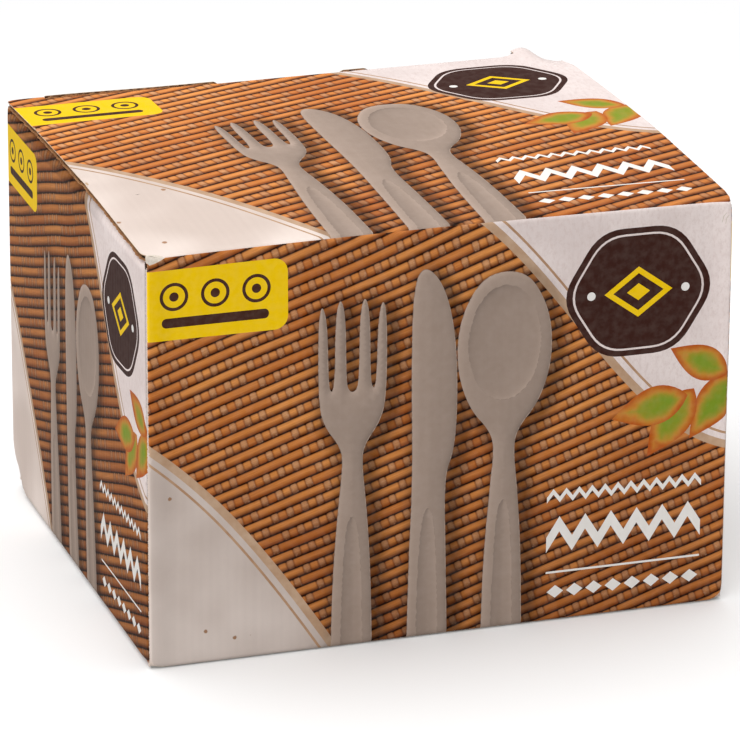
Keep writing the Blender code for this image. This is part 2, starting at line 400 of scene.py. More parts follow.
def zigzag(x0, x1, y, depth, thick, teeth):
    """A running chevron band."""
    step = (x1 - x0) / (2 * teeth)
    upper = [(x0 + step * i, y + (depth if i % 2 else 0.0) + thick) for i in range(2 * teeth + 1)]
    lower = [(x, y0 - thick) for x, y0 in reversed(upper)]
    return lower[::-1] + upper[::-1]


# The print: a generic design. Places are shares of a panel's width and height. Sizes are in millimetres on
# a panel as large as the front, and smaller in proportion on a smaller one.

DESIGN_WIDTH = 220.0
DESIGN_HEIGHT = 155.5

# Each pale field's edge across the panel: where it starts, how far it runs, how much it sways, in how many
# half waves, in how many steps, and a far corner that the field reaches
FIELDS = {
    "stone_print": ((0.36, 1.10), (0.74, -0.74), 0.10, 2.0, 48, (1.6, 1.6)),
    "glaze_print": ((0.36, -0.08), (-0.46, 0.74), 0.09, 1.0, 40, (-0.5, -0.5)),
}
RIM_WIDTH = 3.0
RIM_LINE_GAP = 2.2
RIM_LINE = 0.9

# A sprig's leaves: how far along the stem, the angle off it, and the leaf's length
SPRIG = ((2.0, 46.0, 30.0), (5.0, -40.0, 26.0), (19.0, 38.0, 30.0), (22.0, -8.0, 30.0))
STEM_PLACE = (1.02, 0.58)
STEM_TURN = 188.0
STEM_CURL = 4.0

# Cutlery, heads up, from the middle of the handle: the right halves are listed from the foot up
HANDLE = [(0.0, -30.0), (8.4, -30.0), (8.2, 0.0), (7.4, 30.0), (5.4, 56.0), (3.9, 70.0)]
FORK_HEAD = [(4.4, 78.0), (11.6, 88.0), (13.4, 99.0), (13.5, 128.0), (12.0, 136.0), (9.9, 128.0),
             (9.4, 104.0), (8.3, 100.0), (7.0, 104.0), (6.8, 130.0), (4.8, 138.0), (2.7, 130.0),
             (2.5, 104.0), (1.2, 100.0)]
SPOON_BOWL = [(5.4, 78.0), (14.0, 88.0), (19.0, 104.0), (18.4, 122.0), (12.0, 136.0), (5.0, 141.0)]
KNIFE_OUTLINE = [(-8.4, -30.0), (8.4, -30.0), (8.2, 0.0), (7.4, 30.0), (6.4, 62.0), (10.4, 72.0),
                 (11.6, 92.0), (10.8, 118.0), (6.2, 138.0), (-1.6, 147.0), (-6.2, 140.0), (-7.0, 110.0),
                 (-6.2, 62.0), (-7.4, 30.0)]
FORK = rounded(mirrored(HANDLE + FORK_HEAD), 2)
SPOON = rounded(mirrored(HANDLE + SPOON_BOWL))
KNIFE = rounded(KNIFE_OUTLINE)
HANDLE_HOLLOW = rounded(mirrored([(0.0, -24.0), (4.6, -20.0), (4.4, 10.0), (3.2, 40.0), (1.4, 50.0)]))
BOWL_HOLLOW = ellipse(0.0, 113.0, 14.6, 23.0)
CUTLERY = ((0.345, FORK, "raised"), (0.345, HANDLE_HOLLOW, "sunk"), (0.475, KNIFE, "raised"),
           (0.475, HANDLE_HOLLOW, "sunk"), (0.605, SPOON, "raised"), (0.605, HANDLE_HOLLOW, "sunk"),
           (0.605, BOWL_HOLLOW, "sunk"))
CUTLERY_FOOT = 0.02
CUTLERY_SIZE = 0.95

# The dark badge: its rings by size, its diamonds by half width and half height, and its dots
SEAL_PLACE = (0.835, 0.80)
SEAL = filleted([(30.0, 0.0), (15.0, 24.0), (-15.0, 24.0), (-30.0, 0.0), (-15.0, -24.0), (15.0, -24.0)], 9.0)
SEAL_RINGS = ((1.0, "seal_print"), (0.91, "stone_print"), (0.88, "seal_print"))
SEAL_DIAMONDS = ((13.0, 9.5, "tag_print"), (9.6, 7.0, "seal_print"), (4.4, 3.2, "tag_print"))
DOT_REACH = 18.0
DOT_RADIUS = 1.6

# The yellow label: it starts past the panel's edge, and holds rings by radius and a bar
TAG_START = -12.0
TAG_FOOT = 0.80
TAG_END = 52.0
TAG_HEIGHT = 26.0
TAG_ROUNDING = 5.0
RING_PLACES = (10.5, 25.5, 40.5)
RING_HEIGHT = 16.0
TAG_RINGS = ((5.2, "tag_ink_print"), (4.0, "tag_print"), (1.7, "tag_ink_print"))
BAR_START = 6.0
BAR_END = 45.0
BAR_FOOT = 4.6
BAR_HEIGHT = 3.6
BAR_ROUNDING = 1.7

# The white bands: how far each end is from the panel's right edge, then each zigzag's height on the panel,
# depth, thickness and teeth
BAND_START = 70.0
BAND_END = 10.0
ZIGZAGS = ((0.175, 8.0, 6.0, 6), (0.300, 3.2, 2.2, 12))
RULE_FOOT = 0.122
RULE_HEIGHT = 0.8
RULE_ROUNDING = 0.35
BEADS = 8
BEAD = diamond(3.2, 2.5)
BEAD_HEIGHT = 0.075


def field_outline(kind, width, height, inset):
    """A pale field's outline, moved in from its edge."""
    start, run, sway, waves, steps, far = FIELDS[kind]
    edge = []
    for i in range(steps + 1):
        t = i / steps
        rise = start[1] + run[1] * t + sway * math.sin(waves * math.pi * t)
        edge.append((width * (start[0] + run[0] * t), height * rise))
    outline = []
    for index, (x, y) in enumerate(edge):
        x0, y0 = edge[max(index - 1, 0)]
        x1, y1 = edge[min(index + 1, steps)]
        length = math.hypot(x1 - x0, y1 - y0)
        outline.append((x - (y1 - y0) / length * inset, y + (x1 - x0) / length * inset))
    return outline + [(width * far[0], height * far[1])]


def design(width, height):
    """The print's layers from the bottom up, each an outline, a material and how it is shaded."""
    scale = min(width / DESIGN_WIDTH, height / DESIGN_HEIGHT)
    layers = []

    def add(outline, material, shading="flat"):
        layers.append({"outline": outline, "material": material, "shading": shading})

    rim = RIM_WIDTH * scale
    line = rim + RIM_LINE_GAP * scale
    for kind in FIELDS:
        insets = ((0.0, "rim_print"), (rim, kind), (line, "rim_line_print"), (line + RIM_LINE * scale, kind))
        for inset, material in insets:
            add(field_outline(kind, width, height, inset), material)

    for index, (reach, spread, length) in enumerate(SPRIG):
        lean = math.radians(STEM_TURN + STEM_CURL * index)
        x = width * STEM_PLACE[0] + math.cos(lean) * reach * scale
        y = height * STEM_PLACE[1] + math.sin(lean) * reach * scale
        add(placed(leaf_outline(length), x, y, scale, lean + math.radians(spread)), "leaf_print", "leaf")

    for across, outline, shading in CUTLERY:
        piece = placed(outline, width * across, height * CUTLERY_FOOT, scale * CUTLERY_SIZE)
        add(piece, "cutlery_print", shading)

    seal_x, seal_y = width * SEAL_PLACE[0], height * SEAL_PLACE[1]
    for size, material in SEAL_RINGS:
        add(placed(SEAL, seal_x, seal_y, scale * size), material)
    for half_width, half_height, material in SEAL_DIAMONDS:
        add(placed(diamond(half_width, half_height), seal_x, seal_y, scale), material)
    dot = DOT_RADIUS * scale
    for side in (-1.0, 1.0):
        add(ellipse(seal_x + side * DOT_REACH * scale, seal_y, dot, dot), "white_print")

    foot = height * TAG_FOOT
    label = rounded_box(TAG_START, foot, TAG_END * scale, foot + TAG_HEIGHT * scale, TAG_ROUNDING * scale)
    add(label, "tag_print")
    for place in RING_PLACES:
        for radius, material in TAG_RINGS:
            add(ellipse(place * scale, foot + RING_HEIGHT * scale, radius * scale, radius * scale), material)
    bar = foot + BAR_FOOT * scale
    add(rounded_box(BAR_START * scale, bar, BAR_END * scale, bar + BAR_HEIGHT * scale, BAR_ROUNDING * scale),
        "tag_ink_print")

    right = width - BAND_END * scale
    left = width - BAND_START * scale
    for up, depth, thick, teeth in ZIGZAGS:
        add(zigzag(left, right, height * up, depth * scale, thick * scale, teeth), "white_print")
    rule = height * RULE_FOOT
    add(rounded_box(left, rule, right, rule + RULE_HEIGHT * scale, RULE_ROUNDING * scale), "white_print")
    for index in range(BEADS):
        x = left + (right - left) * (index + 0.5) / BEADS
        add(placed(BEAD, x, height * BEAD_HEIGHT, scale), "white_print")
    return layers


# Dividing a panel along its printed outlines

FAR = 1000.0
TINY = 1e-9
TINY_SQUARE = 1e-12

# Printed light and shade: where the light comes from and how far each kind of shading reaches in
SHADE_REACH = 14.0
LIGHT_WAY = np.array((-0.6, 0.8))
LEAF_SHADE_WIDTH = 5.0
RIM_SHADE_WIDTH = 1.3
BODY_SHADE_WIDTH = 5.0
SHADOW_SHIFT = (2.4, -2.8)
SHADOW_WIDTH = 4.2
SHADOW_DEPTH = 0.62
FAINTEST_SHADOW = 0.72

# The plain shade of a raised or sunk shape, and what the light adds on its rim and over its body
FORM_SHADE = {"raised": (0.97, 0.22, 0.17), "sunk": (0.93, -0.16, -0.13)}


def resampled(points, step):
    """The same closed outline with no stretch longer than the step."""
    out = []
    for (x0, y0), (x1, y1) in zip(points, points[1:] + points[:1]):
        pieces = max(int(math.ceil(math.hypot(x1 - x0, y1 - y0) / step)), 1)
        out += [(x0 + (x1 - x0) * i / pieces, y0 + (y1 - y0) * i / pieces) for i in range(pieces)]
    return out


def around(points, outline, margin):
    """Which points lie in an outline's box with a margin."""
    ring = np.array(outline)
    low, high = ring.min(axis=0) - margin, ring.max(axis=0) + margin
    return np.all((points >= low) & (points <= high), axis=1)


def inside(points, outline):
    """Which points lie inside a closed outline."""
    result = np.zeros(len(points), bool)
    candidates = around(points, outline, 0.0)
    px, py = points[candidates].T
    crossed = np.zeros(len(px), bool)
    for (x0, y0), (x1, y1) in zip(outline, outline[1:] + outline[:1]):
        if y0 != y1:
            crossed ^= ((y0 > py) != (y1 > py)) & (px < (x1 - x0) * (py - y0) / (y1 - y0) + x0)
    result[candidates] = crossed
    return result


def nearest(points, outline):
    """Distance to a closed outline, and the direction towards the nearest place on it."""
    best = np.full(len(points), FAR)
    way = np.zeros((len(points), 2))
    candidates = around(points, outline, SHADE_REACH)
    chosen = points[candidates]
    closest = np.full(len(chosen), FAR)
    towards = np.zeros((len(chosen), 2))
    for start, end in zip(outline, outline[1:] + outline[:1]):
        a, b = np.array(start), np.array(end)
        run = b - a
        share = np.clip(((chosen - a) @ run) / max(run @ run, TINY_SQUARE), 0.0, 1.0)
        gap = a + share[:, None] * run - chosen
        distance = np.hypot(gap[:, 0], gap[:, 1])
        closer = distance < closest
        closest[closer] = distance[closer]
        towards[closer] = gap[closer]
    best[candidates] = closest
    way[candidates] = towards / np.maximum(closest, TINY)[:, None]
    return best, way


def shade_of(layer, points):
    """The printed light and shade inside one shape: 1 is the plain colour."""
    if layer["shading"] == "flat":
        return np.ones(len(points))
    distance, way = nearest(points, layer["outline"])
    if layer["shading"] == "leaf":
        return np.clip(distance / LEAF_SHADE_WIDTH, 0.0, 1.0)
    facing = way @ LIGHT_WAY
    rim = np.exp(-(distance / RIM_SHADE_WIDTH) ** 2)
    body = np.exp(-distance / BODY_SHADE_WIDTH)
    plain, on_rim, on_body = FORM_SHADE[layer["shading"]]
    return plain + on_rim * facing * rim + on_body * facing * body


def cast_shadow(layers, points):
    """The printed shadow of the raised shapes on what lies under them."""
    shade = np.ones(len(points))
    for layer in layers:
        if layer["shading"] != "raised":
            continue
        shifted = [(x + SHADOW_SHIFT[0], y + SHADOW_SHIFT[1]) for x, y in layer["outline"]]
        distance, _ = nearest(points, shifted)
        distance[inside(points, shifted)] = 0.0
        shade = np.minimum(shade, 1.0 - SHADOW_DEPTH * np.exp(-(distance / SHADOW_WIDTH) ** 2))
    return shade


# Painted shade at the roll of a side panel's dust flap under the lid's edge, and how it fades towards the
# front
FOLD_SHADE = 0.30
FOLD_SHADE_START = 1.0
FOLD_SHADE_ROWS = (0.35, 0.7, 1.0)
FOLD_SHADE_RUN = 1.4
FOLD_SHADE_FRONT = 48.0
FOLD_SHADE_FADE = 30.0


def painted_roll_shade(panel, u, v):
    """Painted shade where a side panel rolls over into its dust flap under the lid, less of it near the
    front.
    """
    if panel not in (LEFT, RIGHT):
        return 1.0
    forward = u if panel == LEFT else -u
    strength = FOLD_SHADE * (1.0 - smooth((forward - FOLD_SHADE_FRONT + FOLD_SHADE_FADE) / FOLD_SHADE_FADE))
    return 1.0 - strength * smooth((v - SIDE_TOP_FOOT + FOLD_SHADE_START) / FOLD_SHADE_RUN)


# Painted highlight and painted shade where the front and left panels meet: a light line on the front, a dark
# line on the left and a darker band beside the front's fold, and the front panel's right end made lighter by
# painted light
FOLD_LINE_WIDTH = 1.1
FOLD_LINE_LIGHT = 0.42
FOLD_LINE_DARK = 0.50
LIGHT_END = 0.14
LIGHT_END_WIDTH = 13.0
SHADE_BAND = 0.07
SHADE_BAND_PLACE = 6.0
SHADE_BAND_WIDTH = 5.0


def painted_fold_light(panel, u):
    """Painted highlight and shade along the upright folds at the front."""
    half, _ = wall_sizes(panel)
    edge = half - UPRIGHT_FOLD_RADIUS + HALF_ARC
    if panel == LEFT:
        return 1.0 - FOLD_LINE_DARK * falloff(edge - u, FOLD_LINE_WIDTH)
    if panel != FRONT:
        return 1.0
    line = FOLD_LINE_LIGHT * falloff(edge + u, FOLD_LINE_WIDTH)
    band = SHADE_BAND * falloff(edge + u - SHADE_BAND_PLACE, SHADE_BAND_WIDTH)
    end = LIGHT_END * smooth((u - edge + LIGHT_END_WIDTH) / LIGHT_END_WIDTH)
    return 1.0 + line - band + end


# Painted light and shade: how much lighter or darker each kind of print is made on each panel, where it isn't
# 1
PAINTED_PANEL_LIGHT = {
    "weave_print": {FRONT: 0.95, RIGHT: 0.74, BACK: 0.95, LEFT: 0.72, LID: 1.14},
    "glaze_print": {FRONT: 0.90, RIGHT: 1.08, BACK: 0.95, LEFT: 1.14, LID: 1.08},
    "stone_print": {RIGHT: 1.05, LEFT: 1.10},
}

# Small marks in the board: on which panel, their outline from the panel's middle and its foot. The dark marks
# are torn board, darkened with painted shade of the holes
MARKS = (
    (LEFT, ((96.0, 151.0), (95.0, 151.8), (94.6, 153.4), (93.4, 154.0), (92.6, 156.0), (93.0, 158.0),
            (96.0, 158.0)), "torn_board"),
    (FRONT, ((-110.0, 151.6), (-109.1, 152.0), (-109.0, 153.2), (-110.0, 153.6)), "torn_board"),
    (FRONT, ((-109.3, 153.6), (-108.2, 152.9), (-106.9, 153.4), (-105.6, 153.9), (-104.2, 154.3),
             (-102.4, 155.1), (-102.6, 156.0), (-109.6, 156.0)), "scuff"),
    (LID, ((-110.0, -1.0), (-102.2, -1.0), (-102.9, 0.4), (-104.6, 1.3), (-106.4, 2.4), (-108.0, 2.0),
           (-110.0, 2.6)), "scuff"),
    (LID, ((-108.6, 0.4), (-106.8, 0.9), (-105.2, 0.5), (-106.6, 0.7)), "torn_board"),
    (FRONT, ((105.6, 147.2), (106.2, 149.4), (107.4, 150.9), (107.2, 150.9), (105.9, 149.6), (105.3, 147.3)),
     "scuff"),
    (FRONT, ((106.9, 146.4), (107.3, 148.6), (108.3, 149.9), (108.1, 150.0), (107.0, 148.8), (106.7, 146.5)),
     "scuff"),
    (FRONT, ((-107.6, 0.5), (-104.9, 0.4), (-102.6, 0.6), (-102.8, 1.0), (-105.0, 0.9), (-107.2, 1.0)),
     "scuff"),
    (LID, ((-96.0, 62.0), (-94.6, 62.4), (-93.8, 62.3), (-94.8, 62.0)), "torn_board"),
    (LID, ((-88.6, 148.0), (-87.4, 148.9), (-87.9, 148.7)), "torn_board"),
)


def link(name, data):
    """Puts a mesh, a lamp or a camera in the scene."""
    piece = bpy.data.objects.new(name, data)
    bpy.context.scene.collection.objects.link(piece)
    return piece


def new_mesh(name, collected, materials):
    """A mesh from collected points, faces and each face's material."""
    names = sorted(set(collected.materials))
    slots = {material: index for index, material in enumerate(names)}
    data = bpy.data.meshes.new(name)
    data.from_pydata([point * MM for point in collected.points], [], collected.faces)
    for material in names:
        data.materials.append(materials[material])
    data.polygons.foreach_set("material_index", [slots[material] for material in collected.materials])
    return data


def fine_points(layers, outline):
    """Rings of points beside the outlines of shaded shapes, for their light and shade."""
    rings = []
    for layer in layers:
        ring = np.array(layer["outline"])
        along = np.roll(ring, -1, axis=0) - np.roll(ring, 1, axis=0)
        length = np.maximum(np.hypot(along[:, 0], along[:, 1]), TINY)[:, None]
        inward = np.stack([-along[:, 1], along[:, 0]], axis=1) / length
        for index, distance in enumerate(SHADE_RINGS.get(layer["shading"], ())):
            start, stride = (index % 2, 2) if abs(distance) > 1.0 else (0, 1)
            rings.append(ring[start::stride] + inward[start::stride] * distance)
    points = np.concatenate(rings)
    return [tuple(point) for point in points[inside(points, outline)]]


def divided(outline, layers, columns, rows):
    """Triangles of a panel, divided along every outline, and which layer is on top of each."""
    flat, edges = [], []
    for ring in [outline] + [layer["outline"] for layer in layers]:
        first = len(flat)
        flat += ring
        edges += [(first + i, first + (i + 1) % len(ring)) for i in range(len(ring))]
    grid = np.array([(u, v) for u in columns for v in rows])
    flat += [tuple(point) for point in grid[inside(grid, outline)]]
    flat += fine_points(layers, outline)
    cut = delaunay_2d_cdt([Vector(point) for point in flat], edges, [], 0, CDT_TOLERANCE)
    points = np.array([tuple(point) for point in cut[0]])
    triangles = [tuple(face) for face in cut[2]]
    centres = points[np.array(triangles)].mean(axis=1)
    top = np.full(len(centres), BARE)
    for index, layer in enumerate(layers):
        top[inside(centres, layer["outline"])] = index
    kept = inside(centres, outline)
    return points, [(triangle, int(top[i])) for i, triangle in enumerate(triangles) if kept[i]]


BARE = -1
PRINT_MAP = "print"
PRINT_UNIT = 100.0
PANEL_PRINT_STEP = 400.0
PANEL_SIZES = {FRONT: (WIDTH, HEIGHT), RIGHT: (DEPTH, HEIGHT), BACK: (WIDTH, HEIGHT), LEFT: (DEPTH, HEIGHT),
               LID: (WIDTH, DEPTH)}
PRINT_ZOOM = {LID: (1.20, 1.50)}


class Skin:
    """Collects faces of the printed skin with their print coordinates, shade and wear."""

    def __init__(self):
        self.points = []
        self.faces = []
        self.materials = []
        self.corners = []

    def add_panel(self, panel, outline, columns, rows):
        """Divides one panel's outline and lays it on the box."""
        width, height = PANEL_SIZES[panel]
        layers = design(width, height)
        for layer in layers:
            layer["outline"] = [(x - width / 2.0, y) for x, y in layer["outline"]]
        layers += [{"outline": list(mark), "material": material, "shading": "flat"}
                   for on, mark, material in MARKS if on == panel]
        for layer in layers:
            layer["outline"] = resampled(layer["outline"], OUTLINE_STEP)
        points, triangles = divided(outline, layers, columns, rows)
        shadow = cast_shadow(layers, points)
        shades = {BARE: shadow}
        for index, layer in enumerate(layers):
            own = shade_of(layer, points)
            shades[index] = own if layer["shading"] != "flat" else own * np.maximum(shadow, FAINTEST_SHADOW)
        base = len(self.points)
        if panel == LID:
            self.points += [lid_place(u, v) for u, v in points]
            wear = [lid_wear(u, v) for u, v in points]
        else:
            self.points += [wall_place(panel, u, v) for u, v in points]
            wear = [wall_wear(panel, u, v) for u, v in points]
        zoom = PRINT_ZOOM.get(panel, (1.0, 1.0))
        for triangle, layer in triangles:
            material = "weave_print" if layer == BARE else layers[layer]["material"]
            painted_panel_light = PAINTED_PANEL_LIGHT.get(material, {}).get(panel, 1.0)
            self.faces.append([base + i for i in triangle])
            self.materials.append(material)
            for i in triangle:
                u, v = points[i]
                print_at = ((u + width / 2.0) / zoom[0] + PANEL_PRINT_STEP * panel, v / zoom[1])
                # The printed light and shade, times the painted shade at the dust flap's roll, the painted
                # highlight and shade along the front folds and each panel's painted light
                shade = shades[layer][i] * painted_roll_shade(panel, u, v) * painted_fold_light(panel, u) * painted_panel_light
                self.corners.append((print_at, shade, wear[i], u))

    def make(self, name, materials):
        """Turns what was collected into one object."""
        data = new_mesh(name, self, materials)
        uv = data.uv_layers.new(name=PRINT_MAP)
        uv.data.foreach_set("uv", [c / PRINT_UNIT for corner in self.corners for c in corner[0]])
        for attribute, index in (("shade", 1), ("wear", 2), ("across", 3)):
            layer = data.attributes.new(attribute, "FLOAT", "CORNER")
            layer.data.foreach_set("value", [corner[index] for corner in self.corners])
        mesh = bmesh.new()
        mesh.from_mesh(data)
        bmesh.ops.remove_doubles(mesh, verts=mesh.verts, dist=MERGE_DISTANCE * MM)
        bmesh.ops.delete(mesh, geom=[v for v in mesh.verts if not v.link_faces], context="VERTS")
        mesh.to_mesh(data)
        mesh.free()
        data.shade_smooth()
        return link(name, data)


def spaced(start, run, count):
    """Evenly spaced places along a run, with both its ends."""
    return [start + run * i / count for i in range(count + 1)]


def merged(*groups):
    """The places of several groups in order, each once."""
    return sorted({round(place, FLAT_DIGITS) for group in groups for place in group})


def stations(low, high, step):
    """Evenly spaced places from low to high, about a step apart."""
    return merged(spaced(low, high - low, max(int(round((high - low) / step)), 1)))


def ring_between(columns, rows):
    """A closed outline through stations: along the bottom, up the right, along the top, down the left."""
    ring = [(u, rows[0]) for u in columns[:-1]] + [(columns[-1], v) for v in rows[:-1]]
    ring += [(u, rows[-1]) for u in reversed(columns[1:])]
    return ring + [(columns[0], v) for v in reversed(rows[1:])]


def wall_columns(side):
    """Stations along an upright panel, close together round its folds."""
    half, _ = wall_sizes(side)
    flat = half - UPRIGHT_FOLD_RADIUS
    arc = spaced(flat, HALF_ARC, ARC_STEPS)
    return merged(stations(-flat, flat, GRID_STEP), arc, [-place for place in arc])


BASE_HALF = BASE_FOLD_RADIUS * EIGHTH
WALL_ROWS = stations(SIDE_BASE_FOOT, SIDE_TOP_FOOT, GRID_STEP)
BASE_ROWS = spaced(BASE_FOLD_RADIUS, -BASE_HALF, ARC_STEPS)

# How worn the print is, and how far that reaches: along folds and raw edges, then round corners
FOLD_WEAR = {FRONT: 0.70, RIGHT: 0.42, BACK: 0.50, LEFT: 0.66}
FRONT_RIGHT_WEAR = 0.42
FOLD_WEAR_WIDTH = 0.8
FOOT_WEAR = (0.42, 1.2)
HINGE_WEAR = (0.24, 0.6)
LID_SIDE_WEAR = (0.52, 0.8)
LOW_CORNER_WEAR = (0.66, 6.0)
HIGH_LEFT_CORNER_WEAR = (0.60, 5.0)
HIGH_RIGHT_CORNER_WEAR = (0.40, 5.0)
LID_BACK_CORNER_WEAR = (0.46, 5.0)
LID_FRONT_CORNER_WEAR = 0.74
LID_FRONT_CORNER_REACH = (8.0, 2.4)


def wear_near(distance, strength, width):
    """How much the print has cracked or rubbed at a distance from a fold."""
    return strength * max(1.0 - distance / width, 0.0)


def wear_round(across, up, strength, spread):
    """How much the print has rubbed off near a corner."""
    return strength * falloff(math.hypot(across, up), spread)


def wall_wear(side, u, v):
    """The wear on an upright panel: at its folds, its foot, its hinge and its corners."""
    half, _ = wall_sizes(side)
    from_fold = abs(half - UPRIGHT_FOLD_RADIUS + HALF_ARC - abs(u))
    strength = FRONT_RIGHT_WEAR if side == FRONT and u > 0.0 else FOLD_WEAR[side]
    high = HIGH_LEFT_CORNER_WEAR if u < 0.0 else HIGH_RIGHT_CORNER_WEAR
    hinge = wear_near(HINGE_FOOT + HINGE_HALF - v, *HINGE_WEAR) if side == FRONT else 0.0
    return max(wear_near(from_fold, strength, FOLD_WEAR_WIDTH),
               wear_near(v - BASE_FOLD_RADIUS + BASE_HALF, *FOOT_WEAR), hinge,
               wear_round(from_fold, v, *LOW_CORNER_WEAR), wear_round(from_fold, HEIGHT - v, *high))


def lid_wear(u, v):
    """The wear on the lid: at its hinge, along its raw edges and at its corners."""
    from_side = HALF_WIDTH - abs(u)
    reach_across, reach_up = LID_FRONT_CORNER_REACH
    corner = LID_FRONT_CORNER_WEAR * falloff(HALF_WIDTH + u, reach_across) * falloff(v, reach_up)
    return max(wear_near(v, *HINGE_WEAR), wear_near(from_side, *LID_SIDE_WEAR), corner,
               wear_round(from_side, LID_LENGTH - v, *LID_BACK_CORNER_WEAR))


def add_front(skin):
    """The front panel, from the middle of its base fold to the middle of the hinge."""
    columns = wall_columns(FRONT)
    rows = merged(WALL_ROWS, spaced(HINGE_FOOT, HINGE_HALF, ARC_STEPS), BASE_ROWS)
    skin.add_panel(FRONT, ring_between(columns, rows), columns, rows)


def add_side(skin, side):
    """A side panel, with the roll of its dust flap at the top and of its base flap below."""
    columns = wall_columns(side)
    if side == RIGHT:
        columns += spaced(columns[-1], HALF_ARC, ARC_STEPS)[1:]
    # Rows close together where the painted shade of the roll starts
    shade_rows = [SIDE_TOP_FOOT - FOLD_SHADE_START * share for share in FOLD_SHADE_ROWS]
    rows = merged(WALL_ROWS, spaced(SIDE_TOP_FOOT, TOP_ROLL, TOP_ROLL_STEPS), shade_rows,
                  spaced(SIDE_BASE_FOOT, -BASE_ROLL, BASE_ROLL_STEPS))
    skin.add_panel(side, ring_between(columns, rows), columns, rows)


SEAM_START = -(HALF_WIDTH - UPRIGHT_FOLD_RADIUS - GLUE_SEAM)

# Where the back panel's raw top edge stands up from its low parts: the middle, height and half length of
# each run, and the length that it takes to rise
PROUD_EDGES = ((-61.5, 1.4, 36.0, 3.0), (-94.0, 0.4, 44.0, 38.0), (28.0, 1.2, 7.0, 3.0))
LOW_EDGE = -0.95
RISE_SHARES = (0.0, 0.25, 0.5, 0.75, 1.0)


def back_edge_rise(x):
    """How far the back panel's raw top edge stands up at a place across."""
    return LOW_EDGE + sum(height * smooth((run - abs(x - middle)) / ease)
                          for middle, height, run, ease in PROUD_EDGES)


def add_back(skin):
    """The back panel, up to its raw top edge: lower under the lid's ears."""
    even = wall_columns(BACK)
    eased = [-middle + side * (run - ease * share) for middle, _, run, ease in PROUD_EDGES
             for side in (-1.0, 1.0) for share in RISE_SHARES]
    columns = [SEAM_START] + merged([u for u in even if u > SEAM_START],
                                    [u for u in eased if SEAM_START < u < even[-1]])
    top = HEIGHT - BACK_EDGE_DROP
    under_ear = LID_UNDERSIDE - UNDER_LID_GAP
    left_step = -HALF_WIDTH + RIGHT_EAR
    right_step = HALF_WIDTH - LEFT_EAR
    rows = merged(WALL_ROWS, BASE_ROWS, [under_ear])
    ring = [(u, rows[0]) for u in columns[:-1]] + [(columns[-1], v) for v in rows]
    ring += [(u, under_ear) for u in reversed(columns[:-1]) if u > right_step]
    ring += [(right_step, under_ear), (right_step, top + back_edge_rise(-right_step))]
    ring += [(u, top + back_edge_rise(-u)) for u in reversed(columns) if left_step < u < right_step]
    ring += [(left_step, top + back_edge_rise(-left_step)), (left_step, under_ear)]
    ring += [(u, under_ear) for u in reversed(columns[1:]) if u < left_step]
    ring += [(columns[0], v) for v in reversed(rows[1:])]
    skin.add_panel(BACK, ring, columns, rows)


def add_lid(skin):
    """The lid from the middle of its hinge back to its ears and down its tuck flap."""
    first_row = wall_columns(FRONT)
    flat = HALF_WIDTH - UPRIGHT_FOLD_RADIUS
    columns = merged(first_row, stations(HALF_WIDTH - RIGHT_EAR + EAR_SLIT, flat, LID_ROW_STEP / 2.0))
    tuck_rows = spaced(TUCK_START, TUCK_TURN, TUCK_STEPS) + [TUCK_END]
    corner_rows = [LID_LENGTH - UPRIGHT_FOLD_RADIUS * share ** 2 for share in spaced(0.0, 1.0, CORNER_STEPS)]
    rows = merged(stations(HINGE_HALF, TUCK_START, LID_ROW_STEP), spaced(0.0, HINGE_HALF, ARC_STEPS)[1:],
                  tuck_rows, corner_rows)
    left_slit = -HALF_WIDTH + LEFT_EAR
    right_slit = HALF_WIDTH - RIGHT_EAR
    half_slit = EAR_SLIT / 2.0
    end = round(LID_LENGTH, FLAT_DIGITS)
    side_rows = [v for v in rows if v <= end]
    corner = lid_rim(end)
    ring = [(u, 0.0) for u in first_row]
    ring += [(lid_rim(v), v) for v in side_rows]
    ring += [(u, end) for u in reversed(columns) if right_slit + half_slit < u < corner]
    ring += [(right_slit + half_slit, end), (right_slit + half_slit, TUCK_START)]
    ring += [(right_slit - half_slit, v) for v in tuck_rows]
    ring += [(u, TUCK_END) for u in reversed(columns) if left_slit + half_slit < u < right_slit - half_slit]
    ring += [(left_slit + half_slit, v) for v in reversed(tuck_rows)]
    ring += [(left_slit - half_slit, TUCK_START), (left_slit - half_slit, end)]
    ring += [(u, end) for u in reversed(columns) if -corner < u < left_slit - half_slit]
    ring += [(-lid_rim(v), v) for v in reversed(side_rows)]
    skin.add_panel(LID, ring, columns, rows)


# The board's raw edges

SKIN_GAP = 0.015
FLUTE_THICKNESS = 0.22
FLUTE_RECESS = 1.3
FLUTE_STEP = FLUTE_PITCH / 10.0
EDGE_DEPTH = 3.0
EDGE_SINK = 0.3
LID_EDGE_SPREAD = 0.75

# How far behind the outer liner's edge the other layers start, and how much of that frays
LINER_START = 0.20
LINER_FRAY = 0.45
FLUTING_START = 1.1
FLUTING_FRAY = 2.2
LEAST_FLUTING_START = 0.30
CUT_FLUTING_START = 0.05

# The noise along a raw edge: its length and which strand of the noise it is
FRAY = (1.9, 3.5)
WAVER = (5.7, 7.5)
WANDER = (17.0, 0.5)
WANDER_GAIN = 1.6
BACK_TOP_SEED = 0.4
BACK_SEAM_SEED = 2.4

UP = Vector((0.0, 0.0, 1.0))
DOWN = Vector((0.0, 0.0, -1.0))
THROUGH_BACK = Vector((0.0, -1.0, 0.0))
SIDES = (-1.0, 1.0)


def strand(runs, length, lane, seed):
    """Noise along a path, about -1 to 1."""
    return [noise.noise(Vector((run / length, seed, lane))) for run in runs]


